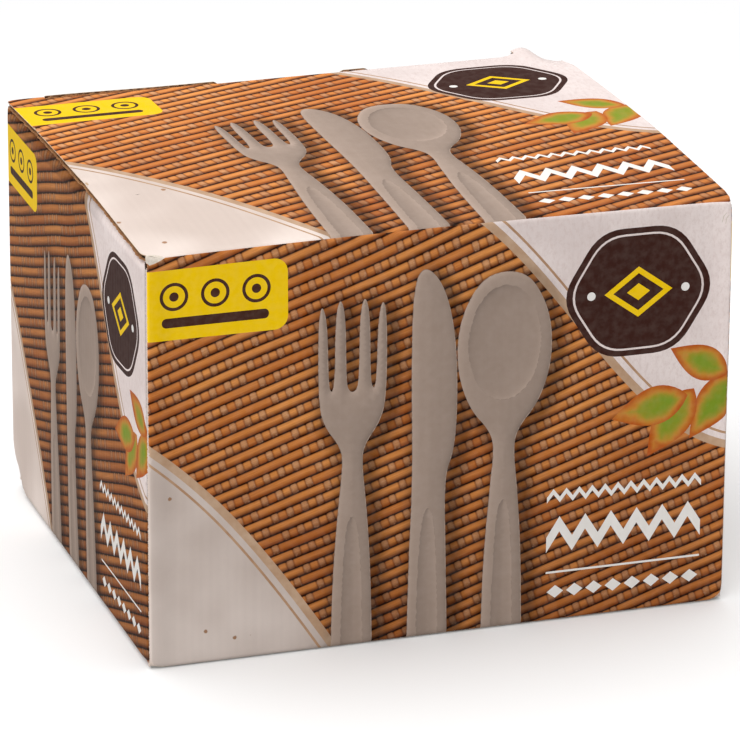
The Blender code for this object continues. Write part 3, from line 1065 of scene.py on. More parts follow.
class Strips:
    """Collects closed strips of board lining and fluting."""

    def __init__(self):
        self.points = []
        self.faces = []
        self.materials = []

    def sweep(self, sections, material):
        """A closed tube through sections of four points, with both ends closed."""
        base = len(self.points)
        for section in sections:
            self.points += section
        last = base + 4 * (len(sections) - 1)
        for ring in range(base, last, 4):
            for j in range(4):
                a = ring + j
                b = ring + (j + 1) % 4
                self.faces.append((a, a + 4, b + 4, b))
        self.faces.append(tuple(base + j for j in range(4)))
        self.faces.append(tuple(last + 3 - j for j in range(4)))
        self.materials += [material] * (4 * (len(sections) - 1) + 2)

    def layer(self, path, nears, tops, feet, material, spread=0.0):
        """One layer of the board along its raw edge: where it starts, and its two faces through the board."""
        sections = []
        for (point, inward, down), near, top, foot in zip(path, nears, tops, feet):
            edge = point + inward * near
            far = point + inward * EDGE_DEPTH
            sections.append([edge + down * (top + spread), far + down * (top + EDGE_SINK),
                             far + down * (foot + EDGE_SINK), edge + down * (foot + spread)])
        self.sweep(sections, material)

    def board(self, path, across_flutes, seed, spread=0.0):
        """Both liners and the fluting between them at a raw edge, which may be spread apart a little."""
        runs = running_lengths(path)
        count = len(path)
        frays = strand(runs, *FRAY, seed)
        waver = [0.5 * spread * wave for wave in strand(runs, *WAVER, seed)]
        self.layer(path, [0.0] * count, [SKIN_GAP] * count, [LINER] * count, "cream_liner")
        self.layer(path, [LINER_START + LINER_FRAY * fray for fray in frays],
                   [BOARD - LINER + wave for wave in waver], [BOARD + wave for wave in waver],
                   "kraft_liner", spread)
        height = (BOARD - 2.0 * LINER - FLUTE_THICKNESS) / 2.0
        if across_flutes:
            waves = [math.sin(2.0 * math.pi * run / FLUTE_PITCH + seed) for run in runs]
            nears = [CUT_FLUTING_START] * count
        else:
            waves = [wave * WANDER_GAIN for wave in strand(runs, *WANDER, seed)]
            nears = [max(FLUTING_START + FLUTING_FRAY * fray, LEAST_FLUTING_START) for fray in frays]
        middles = [BOARD / 2.0 + height * wave for wave in waves]
        tops = [middle - FLUTE_THICKNESS / 2.0 for middle in middles]
        feet = [middle + FLUTE_THICKNESS / 2.0 for middle in middles]
        # The fluting, its kraft colour darkened with painted shade of the edge's hollows
        self.layer(path, nears, tops, feet, "kraft_fluting", 0.5 * spread)
        # A dark sheet behind the fluting: painted shade in the board's hollows
        self.layer(path, [FLUTE_RECESS] * count, [LINER] * count, [BOARD - LINER] * count, "inside_dark",
                   spread)

    def make(self, name, materials):
        """Turns the strips into one object."""
        data = new_mesh(name, self, materials)
        mesh = bmesh.new()
        mesh.from_mesh(data)
        bmesh.ops.recalc_face_normals(mesh, faces=mesh.faces)
        mesh.to_mesh(data)
        mesh.free()
        return link(name, data)


def running_lengths(path):
    """How far along a path each of its points is."""
    total = 0.0
    runs = [0.0]
    for (a, _, _), (b, _, _) in zip(path, path[1:]):
        total += (b - a).length
        runs.append(total)
    return runs


def flute_stations(start, end):
    """Places from start to end, close enough together to draw each flute."""
    return spaced(start, end - start, int(abs(end - start) / FLUTE_STEP))


def lid_down(v):
    """The way through the lid's board at a distance from the hinge."""
    bend = min(EIGHTH + v / LID_HINGE_RADIUS, QUARTER)
    return Vector((0.0, math.cos(bend), -math.sin(bend)))


# Stations along the raw edges: along the lid, round its back corner, and along plain edges
LID_EDGE_STEP = 0.7
CORNER_TURN_STEPS = 6
PLAIN_EDGE_STEP = 2.0


def lid_side_path(side):
    """Along the lid's raw side edge from the hinge to the back corner and round it."""
    rows = stations(0.0, LID_LENGTH - UPRIGHT_FOLD_RADIUS, LID_EDGE_STEP)
    rows += [LID_LENGTH - UPRIGHT_FOLD_RADIUS * (1.0 - i / CORNER_TURN_STEPS) ** 2
             for i in range(1, CORNER_TURN_STEPS + 1)]
    path = []
    for v in rows:
        into = max(UPRIGHT_FOLD_RADIUS - (LID_LENGTH - v), 0.0) / UPRIGHT_FOLD_RADIUS
        turn = math.asin(min(into, 1.0))
        rim = lid_rim(v)
        point = lid_place(side * rim, v)
        within = lid_place(side * (rim - EDGE_DEPTH * math.cos(turn)), v - EDGE_DEPTH * math.sin(turn))
        path.append((point, (within - point) / EDGE_DEPTH, lid_down(v)))
    return path


def ear_back_path(side, ear):
    """Along an ear's raw back edge, from the back corner to the slit."""
    path = []
    for place in flute_stations(lid_rim(LID_LENGTH), HALF_WIDTH - ear + EAR_SLIT / 2.0):
        point = lid_place(side * place, LID_LENGTH)
        within = lid_place(side * place, LID_LENGTH - EDGE_DEPTH)
        path.append((point, (within - point) / EDGE_DEPTH, DOWN))
    return path


def back_top_path():
    """Along the back panel's raw top edge, between the ears."""
    path = []
    for u in flute_stations(-HALF_WIDTH + RIGHT_EAR, HALF_WIDTH - LEFT_EAR):
        proud = Vector((0.0, 0.0, back_edge_rise(-u)))
        path.append((wall_place(BACK, u, HEIGHT - BACK_EDGE_DROP) + proud, DOWN, THROUGH_BACK))
    return path


def back_seam_path():
    """Down the back panel's raw edge at the glue seam."""
    inward = Vector((-1.0, 0.0, 0.0))
    rows = stations(BASE_FOLD_RADIUS, LID_UNDERSIDE - UNDER_LID_GAP, PLAIN_EDGE_STEP)
    return [(wall_place(BACK, SEAM_START, v), inward, THROUGH_BACK) for v in rows]


def lid_edges(materials):
    """The raw edges of the lid and its ears."""
    strips = Strips()
    for side, ear in zip(SIDES, (LEFT_EAR, RIGHT_EAR)):
        strips.board(lid_side_path(side), False, side, LID_EDGE_SPREAD)
        strips.board(ear_back_path(side, ear), True, side)
    return strips.make("lid_raw_edges", materials)


def back_edge(materials):
    """The back panel's raw top edge, where the flutes are cut across, and its edge at the glue seam."""
    strips = Strips()
    strips.board(back_top_path(), True, BACK_TOP_SEED)
    strips.board(back_seam_path(), False, BACK_SEAM_SEED)
    return strips.make("back_raw_edges", materials)


# The base

BASE_LENGTH = BASE_HALF + HALF_DEPTH - BASE_FOLD_RADIUS - BASE_SEAM / 2.0
SIDE_EDGE_STOP = 0.5


def base_rim(v):
    """Half a base flap's width at a distance from its fold."""
    from_fold = smooth(v / CORNER_BLEND)
    return HALF_WIDTH - (UPRIGHT_FOLD_RADIUS - HALF_ARC) * (1.0 - from_fold) - BASE_EDGE_INSET * from_fold


def base_place(side, u, v):
    """Where a point of a base flap lies: side is -1 for the front flap and 1 for the back one."""
    x, inset, near = flap_across(u, v)
    bend = min(EIGHTH + v / BASE_FOLD_RADIUS, QUARTER)
    inset += BASE_FOLD_RADIUS * (1.0 - math.cos(bend)) + max(v - BASE_HALF, 0.0)
    z = BASE_FOLD_RADIUS * (1.0 - math.sin(bend))
    out = wall_bulge(x, HALF_WIDTH, z) * near
    return worn(Vector((x, side * (HALF_DEPTH - inset + out), z)))


def base_flaps(materials):
    """The two outer base flaps, glued down."""
    columns = wall_columns(FRONT)
    rows = merged(spaced(0.0, BASE_HALF, ARC_STEPS), stations(BASE_HALF, BASE_LENGTH, BASE_ROW_STEP))
    count = len(columns)
    flaps = Strips()
    for side in SIDES:
        base = len(flaps.points)
        for v in rows:
            rim = base_rim(v)
            flaps.points += [base_place(side, u * rim / columns[-1], v) for u in columns]
        for j in range(len(rows) - 1):
            for i in range(count - 1):
                a = base + j * count + i
                flaps.faces.append((a, a + 1, a + count + 1, a + count))
                flaps.materials.append("base_liner")
    piece = flaps.make("base_flaps", materials)
    piece.data.shade_smooth()
    return piece


def base_edges(materials):
    """The raw edges of the outer base flaps, at the seam between them and at the box's sides."""
    strips = Strips()
    rim = base_rim(BASE_LENGTH)
    for side in SIDES:
        seam_inward = Vector((0.0, side, 0.0))
        seam = [(base_place(side, u, BASE_LENGTH), seam_inward, UP) for u in flute_stations(-rim, rim)]
        strips.board(seam, True, side)
        for end in SIDES:
            inward = Vector((-end, 0.0, 0.0))
            path = [(base_place(side, end * base_rim(v), v), inward, UP)
                    for v in stations(BASE_HALF, BASE_LENGTH - SIDE_EDGE_STOP, PLAIN_EDGE_STEP)]
            strips.board(path, False, side + end)
    return strips.make("base_raw_edges", materials)


# The box of painted shade inside the carton, by levels: the height, and how far in from the sides and from
# the front and back
INSIDE_LEVELS = ((BOARD + 0.02, 6.5, 2.5), (7.0, 3.0, 2.5), (HEIGHT - 12.0, 3.0, 2.5),
                 (HEIGHT - 2.2, 8.0, 12.0))


def painted_shade_box(materials):
    """A closed box within the board, dark with painted shade, that the narrow gaps show."""
    mesh = bmesh.new()
    rings = []
    for z, x_inset, y_inset in INSIDE_LEVELS:
        x, y = HALF_WIDTH - x_inset, HALF_DEPTH - y_inset
        corners = ((-x, -y, z), (x, -y, z), (x, y, z), (-x, y, z))
        rings.append([mesh.verts.new(Vector(corner) * MM) for corner in corners])
    for low, high in zip(rings, rings[1:]):
        for i in range(4):
            mesh.faces.new((low[i], low[(i + 1) % 4], high[(i + 1) % 4], high[i]))
    mesh.faces.new(list(reversed(rings[0])))
    mesh.faces.new(rings[-1])
    bmesh.ops.recalc_face_normals(mesh, faces=mesh.faces)
    data = bpy.data.meshes.new("painted_shade_box")
    mesh.to_mesh(data)
    mesh.free()
    data.materials.append(materials["inside_dark"])
    return link("painted_shade_box", data)


# Materials

def srgb(red, green, blue):
    """A colour written in 0 to 255, as the shader wants it."""
    parts = []
    for value in (red, green, blue):
        share = value / 255.0
        parts.append(share / 12.92 if share <= 0.04045 else ((share + 0.055) / 1.055) ** 2.4)
    return (*parts, 1.0)


class Nodes:
    """A node tree while it is joined up."""

    def __init__(self, tree):
        self.tree = tree

    def put(self, socket, value):
        """Joins a value or another node's output to a socket."""
        if isinstance(value, bpy.types.NodeSocket):
            self.tree.links.new(value, socket)
        else:
            socket.default_value = value

    def add(self, kind, inputs, **settings):
        """A new node with its settings and inputs."""
        node = self.tree.nodes.new("ShaderNode" + kind)
        for key, value in settings.items():
            setattr(node, key, value)
        for key, value in inputs.items():
            self.put(node.inputs[key], value)
        return node

    def math(self, operation, *values):
        """The outcome of a sum."""
        return self.add("Math", dict(enumerate(values)), operation=operation).outputs[0]

    def between(self, value, low, high, start=0.0, end=1.0):
        """Eases from start to end as the value goes from low to high."""
        inputs = {"Value": value, "From Min": low, "From Max": high, "To Min": start, "To Max": end}
        return self.add("MapRange", inputs, interpolation_type="SMOOTHSTEP").outputs[0]

    def by_ray(self, start, end, *kinds):
        """A value that is end for rays of any of these kinds, and start for the others."""
        path = self.add("LightPath", {})
        found = path.outputs[kinds[0]]
        for kind in kinds[1:]:
            found = self.math("MAXIMUM", found, path.outputs[kind])
        return self.add("MapRange", {"Value": found, "To Min": start, "To Max": end}).outputs[0]


class Paint(Nodes):
    """A material while its nodes are joined up."""

    def __init__(self, name, roughness, specular=0.5):
        self.material = bpy.data.materials.new(name)
        self.material.use_nodes = True
        super().__init__(self.material.node_tree)
        self.shader = self.tree.nodes["Principled BSDF"]
        self.set("Roughness", roughness)
        self.set("Specular IOR Level", specular)

    def set(self, name, value):
        """Gives one of the shader's inputs a value or another node's output."""
        self.put(self.shader.inputs[name], value)

    def mix(self, share, first, second, blend="MIX"):
        """Two colours mixed."""
        inputs = {0: share, 6: first, 7: second}
        return self.add("Mix", inputs, data_type="RGBA", blend_type=blend).outputs[2]

    def choose(self, share, first, second):
        """Two values mixed."""
        return self.add("Mix", {0: share, 2: first, 3: second}, data_type="FLOAT").outputs[0]

    def noise(self, place, scale, detail=2.0, roughness=0.5):
        """Soft noise from 0 to 1, its scale in waves for each millimetre."""
        inputs = {"Vector": place, "Scale": scale, "Detail": detail, "Roughness": roughness}
        return self.add("TexNoise", inputs).outputs[0]

    def patches(self, colour, second, place, grain, ease, blend="MIX"):
        """Patches of a second colour, by the grain of their noise and the ease from it to their strength."""
        return self.mix(self.between(self.noise(place, *grain), *ease), colour, second, blend)

    def vector(self, x, y, z):
        """A vector from its parts."""
        return self.add("CombineXYZ", {0: x, 1: y, 2: z}).outputs[0]

    def along(self, place, way):
        """How far a place is along a direction."""
        return self.add("VectorMath", {0: place, 1: way}, operation="DOT_PRODUCT").outputs["Value"]

    def stretch(self, place, factors):
        """A place with its parts multiplied."""
        return self.add("VectorMath", {0: place, 1: factors}, operation="MULTIPLY").outputs[0]

    def attribute(self, name):
        """A value that the mesh carries."""
        return self.add("Attribute", {}, attribute_name=name).outputs["Fac"]

    def print_place(self):
        """Where on the print a point is, in millimetres."""
        place = self.add("UVMap", {}, uv_map=PRINT_MAP).outputs[0]
        return self.stretch(place, (PRINT_UNIT, PRINT_UNIT, 0.0))

    def object_place(self):
        """Where on the object a point is, in millimetres."""
        place = self.add("TexCoord", {}).outputs["Object"]
        return self.stretch(place, (1.0 / MM, 1.0 / MM, 1.0 / MM))

    def bump(self, height, distance):
        """Raises the surface by a height from 0 to 1, times a distance in millimetres."""
        node = self.add("Bump", {"Height": height, "Distance": distance * MM, "Strength": 1.0})
        self.set("Normal", node.outputs[0])


# The film. Below, a grain is a noise's scale, detail and roughness, a stretch is how the noise's place is
# multiplied, and an ease is the noise's low and high with the start and end that they lead to.
FILM_ROUGHNESS = 0.46
ROUGHNESS_SPREAD = 0.16
FILM_SPECULAR = 0.03
FILM_GRAIN = (0.35, 2.0)
FILM_HAZE = srgb(255, 240, 228)
FILM_HAZE_EASE = (0.3, 0.75)
FILM_HAZE_SHARE = 0.025
FLECK_GRAIN = (1.3, 3.0, 0.65)
FLECK_RISE = 0.18
# Painted light and shade of the washboarded board: streaks along the flutes
STREAKS = 0.055
STREAK_STRETCH = (0.55, 0.012, 1.0)
STREAK_GRAIN = (1.0, 3.0, 0.7)

# The flutes that show through the film as relief, with their painted light and shade, and how strong the
# relief is from place to place
FLUTE_SHOW = 0.045
FLUTE_RIDGE_SHADE = 0.006
FLUTE_STRETCH = (0.09, 0.02, 1.0)
FLUTE_GRAIN = (1.0, 2.0)
FLUTE_EASE = (0.3, 0.7, 0.12, 0.5)

# The cracks in the print, where the wear and its flecks add up to enough
CRACKED_PRINT = srgb(236, 218, 206)
CRACK_FLECKS = 0.9
CRACK_EASE = (0.40, 0.56)
CRACK_ROUGHNESS = 0.4
CRACK_SINK = 0.9


def finish_print(paint, place, colour):
    """The film over the print, the flutes showing through it and the cracks along worn folds."""
    flecks = paint.noise(place, *FLECK_GRAIN)
    fine = paint.noise(place, *FILM_GRAIN)
    flute = paint.math("SINE", paint.math("MULTIPLY", paint.attribute("across"), 2.0 * math.pi / FLUTE_PITCH))
    # Painted light and shade of the washboarding: vertical streaks, and stripes in step with the flutes
    streaks = paint.noise(paint.stretch(place, STREAK_STRETCH), *STREAK_GRAIN)
    streak_shade = paint.math("MULTIPLY_ADD", streaks, STREAKS, 1.0 - STREAKS / 2.0)
    streak_shade = paint.math("MULTIPLY_ADD", flute, FLUTE_RIDGE_SHADE, streak_shade)
    colour = paint.mix(1.0, colour, streak_shade, "MULTIPLY")
    flecked = paint.math("MULTIPLY_ADD", flecks, CRACK_FLECKS, -CRACK_FLECKS / 2.0)
    crack = paint.between(paint.math("ADD", paint.attribute("wear"), flecked), *CRACK_EASE)
    haze = paint.math("MULTIPLY", paint.between(fine, *FILM_HAZE_EASE), FILM_HAZE_SHARE)
    colour = paint.mix(haze, colour, FILM_HAZE)
    paint.set("Base Color", paint.mix(crack, colour, CRACKED_PRINT))
    rough = paint.math("MULTIPLY_ADD", fine, ROUGHNESS_SPREAD, FILM_ROUGHNESS - ROUGHNESS_SPREAD / 2.0)
    paint.set("Roughness", paint.math("MULTIPLY_ADD", crack, CRACK_ROUGHNESS, rough))
    swell = paint.noise(paint.stretch(place, FLUTE_STRETCH), *FLUTE_GRAIN)
    height = paint.math("MULTIPLY_ADD", flute, paint.between(swell, *FLUTE_EASE), 0.5)
    height = paint.math("MULTIPLY_ADD", flecks, FLECK_RISE, height)
    height = paint.math("MULTIPLY_ADD", crack, -CRACK_SINK, height)
    paint.bump(height, FLUTE_SHOW)
    return paint.material


def shaded(paint, colour):
    """A colour with the printed light and shade on it, and the painted light and shade that the mesh carries
    with it.
    """
    return paint.mix(1.0, colour, paint.attribute("shade"), "MULTIPLY")


# The printed mat: how its rows lean, bend and shift, and the rods and their bindings along a row
WEAVE_TILT = math.radians(18.0)
WEAVE_ROW = 3.9
WEAVE_BEND_GRAIN = (0.016, 1.0)
WEAVE_BEND = 2.4
WEAVE_PERIOD = 46.0
WEAVE_SHIFT = 23.9
WEAVE_SCATTER = 1.6
SHORT_ROD = 5.8
SHORT_RODS = 3.0
LONG_ROD = WEAVE_PERIOD - SHORT_RODS * SHORT_ROD
KNOB = 2.5
KNOB_ROUNDING = 4.0
ROD_END = 0.8

# Across a row, in shares of it: its middle, half of a rod and of a binding, and what their ends lose
ROW_MIDDLE = 0.52
ROD_HALF = 0.43
ROD_TAPER = 0.04
KNOB_HALF = 0.475
KNOB_TAPER = 0.10

# The mat's light: where the gaps start, and the light from below, from above, at ends and on fibres
GAP_EASE = (0.82, 1.08, 1.0, 0.0)
LOW_LIGHT = (-1.0, 0.25, 0.05, 1.0)
HIGH_LIGHT = (0.5, 1.05, 1.0, 0.62)
END_SHADE = 0.62
FIBRE_RUN = 0.12
FIBRE_CLIMB = 2.2
FIBRE_GRAIN = (1.0, 3.0, 0.7)
FIBRE_LIGHT = (0.2, 0.8, 0.74, 1.10)

# The mat's colours, with the eases of those that come in patches
ROD_DARK = srgb(104, 44, 12)
ROD_LIGHT = srgb(240, 158, 84)
ROD_TONE = srgb(182, 92, 32)
ROD_TONE_EASE = (0.15, 1.0, 0.0, 0.42)
ROD_FIBRE = srgb(232, 176, 128)
ROD_FIBRE_EASE = (0.55, 0.8, 0.0, 0.22)
KNOB_DARK = srgb(104, 50, 22)
KNOB_LIGHT = srgb(222, 158, 106)
KNOB_WRAP = srgb(228, 184, 150)
KNOB_WRAP_GRAIN = (0.9, 2.0, 0.6)
KNOB_WRAP_EASE = (0.50, 0.72, 0.0, 0.34)
GAP_COLOUR = srgb(50, 22, 7)
MAT_PATCH = srgb(180, 120, 80)
MAT_PATCH_GRAIN = (0.018, 2.0)
MAT_PATCH_EASE = (0.35, 0.7, 0.0, 0.30)
# Painted shade: the mat is made darker towards each panel's foot
MAT_FOOT_SHADE = srgb(170, 150, 140)
MAT_FOOT_SHADE_EASE = (5.0, 95.0, 0.42, 0.0)


def weave_cells(paint, run, climb):
    """Where a point is in the mat: how high in its row, how far along its rod, the rod's length, its cell."""
    rows = paint.math("DIVIDE", climb, WEAVE_ROW)
    row = paint.math("FLOOR", rows)
    chance = paint.add("TexWhiteNoise", {"W": row}, noise_dimensions="1D").outputs["Value"]
    scattered = paint.math("MULTIPLY_ADD", chance, WEAVE_SCATTER, run)
    moved = paint.math("MULTIPLY_ADD", row, WEAVE_SHIFT, scattered)
    period = paint.math("FLOOR", paint.math("DIVIDE", moved, WEAVE_PERIOD))
    within = paint.math("MULTIPLY_ADD", period, -WEAVE_PERIOD, moved)
    piece = paint.math("MINIMUM", paint.math("FLOOR", paint.math("DIVIDE", within, SHORT_ROD)), SHORT_RODS)
    from_start = paint.math("MULTIPLY_ADD", piece, -SHORT_ROD, within)
    is_long = paint.math("GREATER_THAN", piece, SHORT_RODS - 0.5)
    length = paint.math("MULTIPLY_ADD", is_long, LONG_ROD - SHORT_ROD, SHORT_ROD)
    cell = paint.vector(paint.math("MULTIPLY_ADD", period, SHORT_RODS + 1.0, piece), row, 0.0)
    return paint.math("FRACT", rows), from_start, length, cell


def weave_light(paint, high, from_start, length, fibre):
    """The mat's light, with 1 in its bindings and 1 where a rod or a binding covers the gap."""
    in_knob = paint.math("LESS_THAN", from_start, KNOB)
    from_middle = paint.math("DIVIDE", paint.math("SUBTRACT", from_start, KNOB / 2.0), KNOB / 2.0)
    knob_run = paint.math("MINIMUM", paint.math("ABSOLUTE", from_middle), 1.0)
    knob_end = paint.math("POWER", knob_run, KNOB_ROUNDING)
    from_knob = paint.math("SUBTRACT", from_start, KNOB)
    to_end = paint.math("MINIMUM", from_knob, paint.math("SUBTRACT", length, from_start))
    rod_end = paint.between(to_end, 0.0, ROD_END, 1.0, 0.0)
    rod_half = paint.math("MULTIPLY_ADD", rod_end, -ROD_TAPER, ROD_HALF)
    knob_half = paint.math("MULTIPLY_ADD", knob_end, -KNOB_TAPER, KNOB_HALF)
    half = paint.choose(in_knob, rod_half, knob_half)
    tilt = paint.math("DIVIDE", paint.math("SUBTRACT", high, ROW_MIDDLE), half)
    cover = paint.between(paint.math("ABSOLUTE", tilt), *GAP_EASE)
    light = paint.math("MULTIPLY", paint.between(tilt, *LOW_LIGHT), paint.between(tilt, *HIGH_LIGHT))
    ends = paint.choose(in_knob, rod_end, knob_end)
    light = paint.math("MULTIPLY", light, paint.math("MULTIPLY_ADD", ends, -END_SHADE, 1.0))
    light = paint.math("MULTIPLY", light, paint.between(fibre, *FIBRE_LIGHT))
    return light, in_knob, cover


def weave_print():
    """The printed reed mat: rows of long rods, with runs of short ones tied between by paler knots."""
    paint = Paint("weave_print", FILM_ROUGHNESS, FILM_SPECULAR)
    place = paint.print_place()
    run = paint.along(place, (math.cos(WEAVE_TILT), math.sin(WEAVE_TILT), 0.0))
    straight = paint.along(place, (-math.sin(WEAVE_TILT), math.cos(WEAVE_TILT), 0.0))
    climb = paint.math("MULTIPLY_ADD", paint.noise(place, *WEAVE_BEND_GRAIN), WEAVE_BEND, straight)
    high, from_start, length, cell = weave_cells(paint, run, climb)
    tone = paint.add("TexWhiteNoise", {0: cell}, noise_dimensions="3D").outputs["Value"]
    fibre_run = paint.math("MULTIPLY", run, FIBRE_RUN)
    fibre_climb = paint.math("MULTIPLY", climb, FIBRE_CLIMB)
    fibre = paint.noise(paint.vector(fibre_run, fibre_climb, tone), *FIBRE_GRAIN)
    light, in_knob, cover = weave_light(paint, high, from_start, length, fibre)
    rod = paint.mix(light, ROD_DARK, ROD_LIGHT)
    rod = paint.mix(paint.between(tone, *ROD_TONE_EASE), rod, ROD_TONE)
    rod = paint.mix(paint.between(fibre, *ROD_FIBRE_EASE), rod, ROD_FIBRE)
    knob = paint.mix(light, KNOB_DARK, KNOB_LIGHT)
    knob = paint.patches(knob, KNOB_WRAP, place, KNOB_WRAP_GRAIN, KNOB_WRAP_EASE)
    colour = paint.mix(cover, GAP_COLOUR, paint.mix(in_knob, rod, knob))
    colour = paint.patches(colour, MAT_PATCH, place, MAT_PATCH_GRAIN, MAT_PATCH_EASE, "MULTIPLY")
    up = paint.add("SeparateXYZ", {0: place}).outputs["Y"]
    # Painted shade, darker towards the panel's foot
    colour = paint.mix(paint.between(up, *MAT_FOOT_SHADE_EASE), colour, MAT_FOOT_SHADE, "MULTIPLY")
    return finish_print(paint, place, shaded(paint, colour))


# The stone and its patches: their colour, stretch, grain and ease
STONE = srgb(240, 226, 222)
STONE_PATCHES = (
    (srgb(228, 213, 209), (1.0, 1.0, 1.0), (0.035, 3.0, 0.55), (0.35, 0.68)),
    (srgb(214, 194, 188), (1.0, 0.55, 1.0), (0.75, 4.0, 0.75), (0.42, 0.70, 0.0, 0.50)),
    (srgb(176, 156, 148), (1.0, 1.0, 1.0), (0.7, 2.0, 0.5), (0.70, 0.78, 0.0, 0.30)),
)


def stone_print():
    """The pale stone field, finely mottled in grey and pink."""
    paint = Paint("stone_print", FILM_ROUGHNESS, FILM_SPECULAR)
    place = paint.print_place()
    colour = STONE
    for second, stretch, grain, ease in STONE_PATCHES:
        colour = paint.patches(colour, second, paint.stretch(place, stretch), grain, ease)
    return finish_print(paint, place, shaded(paint, colour))


# The glaze, its clouds and its specks, which start inside a ragged distance from their middles
GLAZE = srgb(234, 219, 210)
GLAZE_CLOUD = srgb(206, 189, 179)
GLAZE_GRAIN = (0.022, 2.0, 0.5)
GLAZE_EASE = (0.3, 0.7)
SPECK = srgb(168, 128, 98)
SPECK_SCALE = 0.09
SPECK_GRAIN = (1.2,)
SPECK_RAGGED = 0.06
SPECK_EASE = (0.085, 0.115)


def glaze_print():
    """The pale glazed field with small brown specks."""
    paint = Paint("glaze_print", FILM_ROUGHNESS, FILM_SPECULAR)
    place = paint.print_place()
    colour = paint.patches(GLAZE, GLAZE_CLOUD, place, GLAZE_GRAIN, GLAZE_EASE)
    inputs = {"Vector": place, "Scale": SPECK_SCALE, "Randomness": 1.0}
    away = paint.add("TexVoronoi", inputs).outputs["Distance"]
    ragged = paint.math("MULTIPLY", paint.noise(place, *SPECK_GRAIN), SPECK_RAGGED)
    colour = paint.mix(paint.between(paint.math("ADD", away, ragged), *SPECK_EASE), SPECK, colour)
    return finish_print(paint, place, shaded(paint, colour))


# A leaf's colours from its edge inward, with the eases between them
LEAF_GRAIN = (0.10, 3.0, 0.6)
LEAF_PATCHES = 1.1
LEAF_INSET = 0.55
LEAF_EDGE = srgb(186, 88, 30)
LEAF_TONES = (
    (srgb(206, 140, 56), (-0.1, 0.6)),
    (srgb(150, 150, 46), (0.3, 0.9)),
    (srgb(128, 152, 40), (0.8, 1.2)),
)


def leaf_print():
    """A printed leaf: green in the middle, turning orange and brown to its edge."""
    paint = Paint("leaf_print", FILM_ROUGHNESS, FILM_SPECULAR)
    place = paint.print_place()
    inset = paint.math("SUBTRACT", paint.attribute("shade"), LEAF_INSET)
    inward = paint.math("MULTIPLY_ADD", paint.noise(place, *LEAF_GRAIN), LEAF_PATCHES, inset)
    colour = LEAF_EDGE
    for tone, ease in LEAF_TONES:
        colour = paint.mix(paint.between(inward, *ease), colour, tone)
    return finish_print(paint, place, colour)


# Plain printed colours: the colour, the one that clouds it and how strong the clouds are
PLAIN_GRAIN = (0.12, 3.0, 0.6)
PLAIN_PRINTS = {
    "rim_print": (srgb(186, 150, 120), srgb(214, 186, 160), 0.5),
    "rim_line_print": (srgb(176, 136, 104), srgb(206, 172, 140), 0.5),
    "cutlery_print": (srgb(168, 148, 135), srgb(160, 140, 126), 0.4),
    "seal_print": (srgb(64, 36, 30), srgb(56, 31, 26), 0.3),
    "tag_print": (srgb(252, 208, 12), srgb(248, 202, 10), 0.5),
    "tag_ink_print": (srgb(74, 44, 34), srgb(64, 37, 29), 0.5),
    "white_print": (srgb(244, 240, 235), srgb(234, 229, 223), 0.5),
}


def plain_print(name, colour, second, share):
    """A plain printed colour with slight clouds of a second one."""
    paint = Paint(name, FILM_ROUGHNESS, FILM_SPECULAR)
    place = paint.print_place()
    mixed = paint.patches(colour, second, place, PLAIN_GRAIN, (0.3, 0.7, 0.0, share))
    return finish_print(paint, place, shaded(paint, mixed))


# Bare papers: the colour, that of the fibres and clouds in it, and the roughness
FIBRE_STRETCH = (1.0, 0.35, 1.0)
PAPER_FIBRES = (1.1, 4.0, 0.7)
PAPER_FIBRE_EASE = (0.3, 0.72)
PAPER_CLOUDS = (0.06, 2.0)
PAPER_CLOUD_EASE = (0.35, 0.7, 0.0, 0.3)
PAPER_SPECULAR = 0.3
PAPER_RELIEF = 0.05
PAPERS = {
    "scuff": (srgb(232, 222, 210), srgb(214, 200, 184), 0.85),
    # Torn board, darkened with painted shade of its holes
    "torn_board": (srgb(70, 44, 26), srgb(44, 26, 14), 0.95),
    "cream_liner": (srgb(216, 188, 158), srgb(186, 150, 114), 0.85),
    "kraft_liner": (srgb(196, 144, 98), srgb(156, 106, 66), 0.85),
    # Kraft fluting darkened with painted shade of the hollows in a raw edge
    "kraft_fluting": (srgb(126, 78, 44), srgb(54, 31, 17), 0.85),
    "base_liner": (srgb(226, 222, 214), srgb(212, 206, 196), 0.7),
    # A dark brown that stands for the shade inside the board and the carton: painted shade
    "inside_dark": (srgb(58, 36, 22), srgb(38, 22, 13), 0.95),
}


def paper(name, colour, second, roughness):
    """Bare paper with fibres."""
    paint = Paint(name, roughness, PAPER_SPECULAR)
    place = paint.object_place()
    fibres = paint.noise(paint.stretch(place, FIBRE_STRETCH), *PAPER_FIBRES)
    mixed = paint.mix(paint.between(fibres, *PAPER_FIBRE_EASE), colour, second)
    paint.set("Base Color", paint.patches(mixed, second, place, PAPER_CLOUDS, PAPER_CLOUD_EASE))
    paint.bump(fibres, PAPER_RELIEF)
    return paint.material


def all_materials():
    """Every material by its name."""
    found = [weave_print(), stone_print(), glaze_print(), leaf_print()]
    found += [plain_print(name, *look) for name, look in PLAIN_PRINTS.items()]
    found += [paper(name, *look) for name, look in PAPERS.items()]
    return {material.name: material for material in found}


# The stage, the lamps and the camera

AMBIENT = 0.58
REFLECTED = 0.30
SEEN_RAYS = ("Is Camera Ray", "Is Transmission Ray")
FLOOR_BOUNCE = 0.5
FLOOR_PALE = 0.97
FLOOR_SIZE = 6.0
FLOOR_ROUGHNESS = 0.9
SHADOW_REACH = (0.32, 0.75)

# Each lamp: where its light comes from, what it adds to a white surface that faces it, and its spread
LAMPS = {
    "top_light": ((-0.15, 0.25, 0.95), 0.48, 60.0),
    "key_light": ((-0.45, -0.62, 0.64), 0.30, 50.0),
}


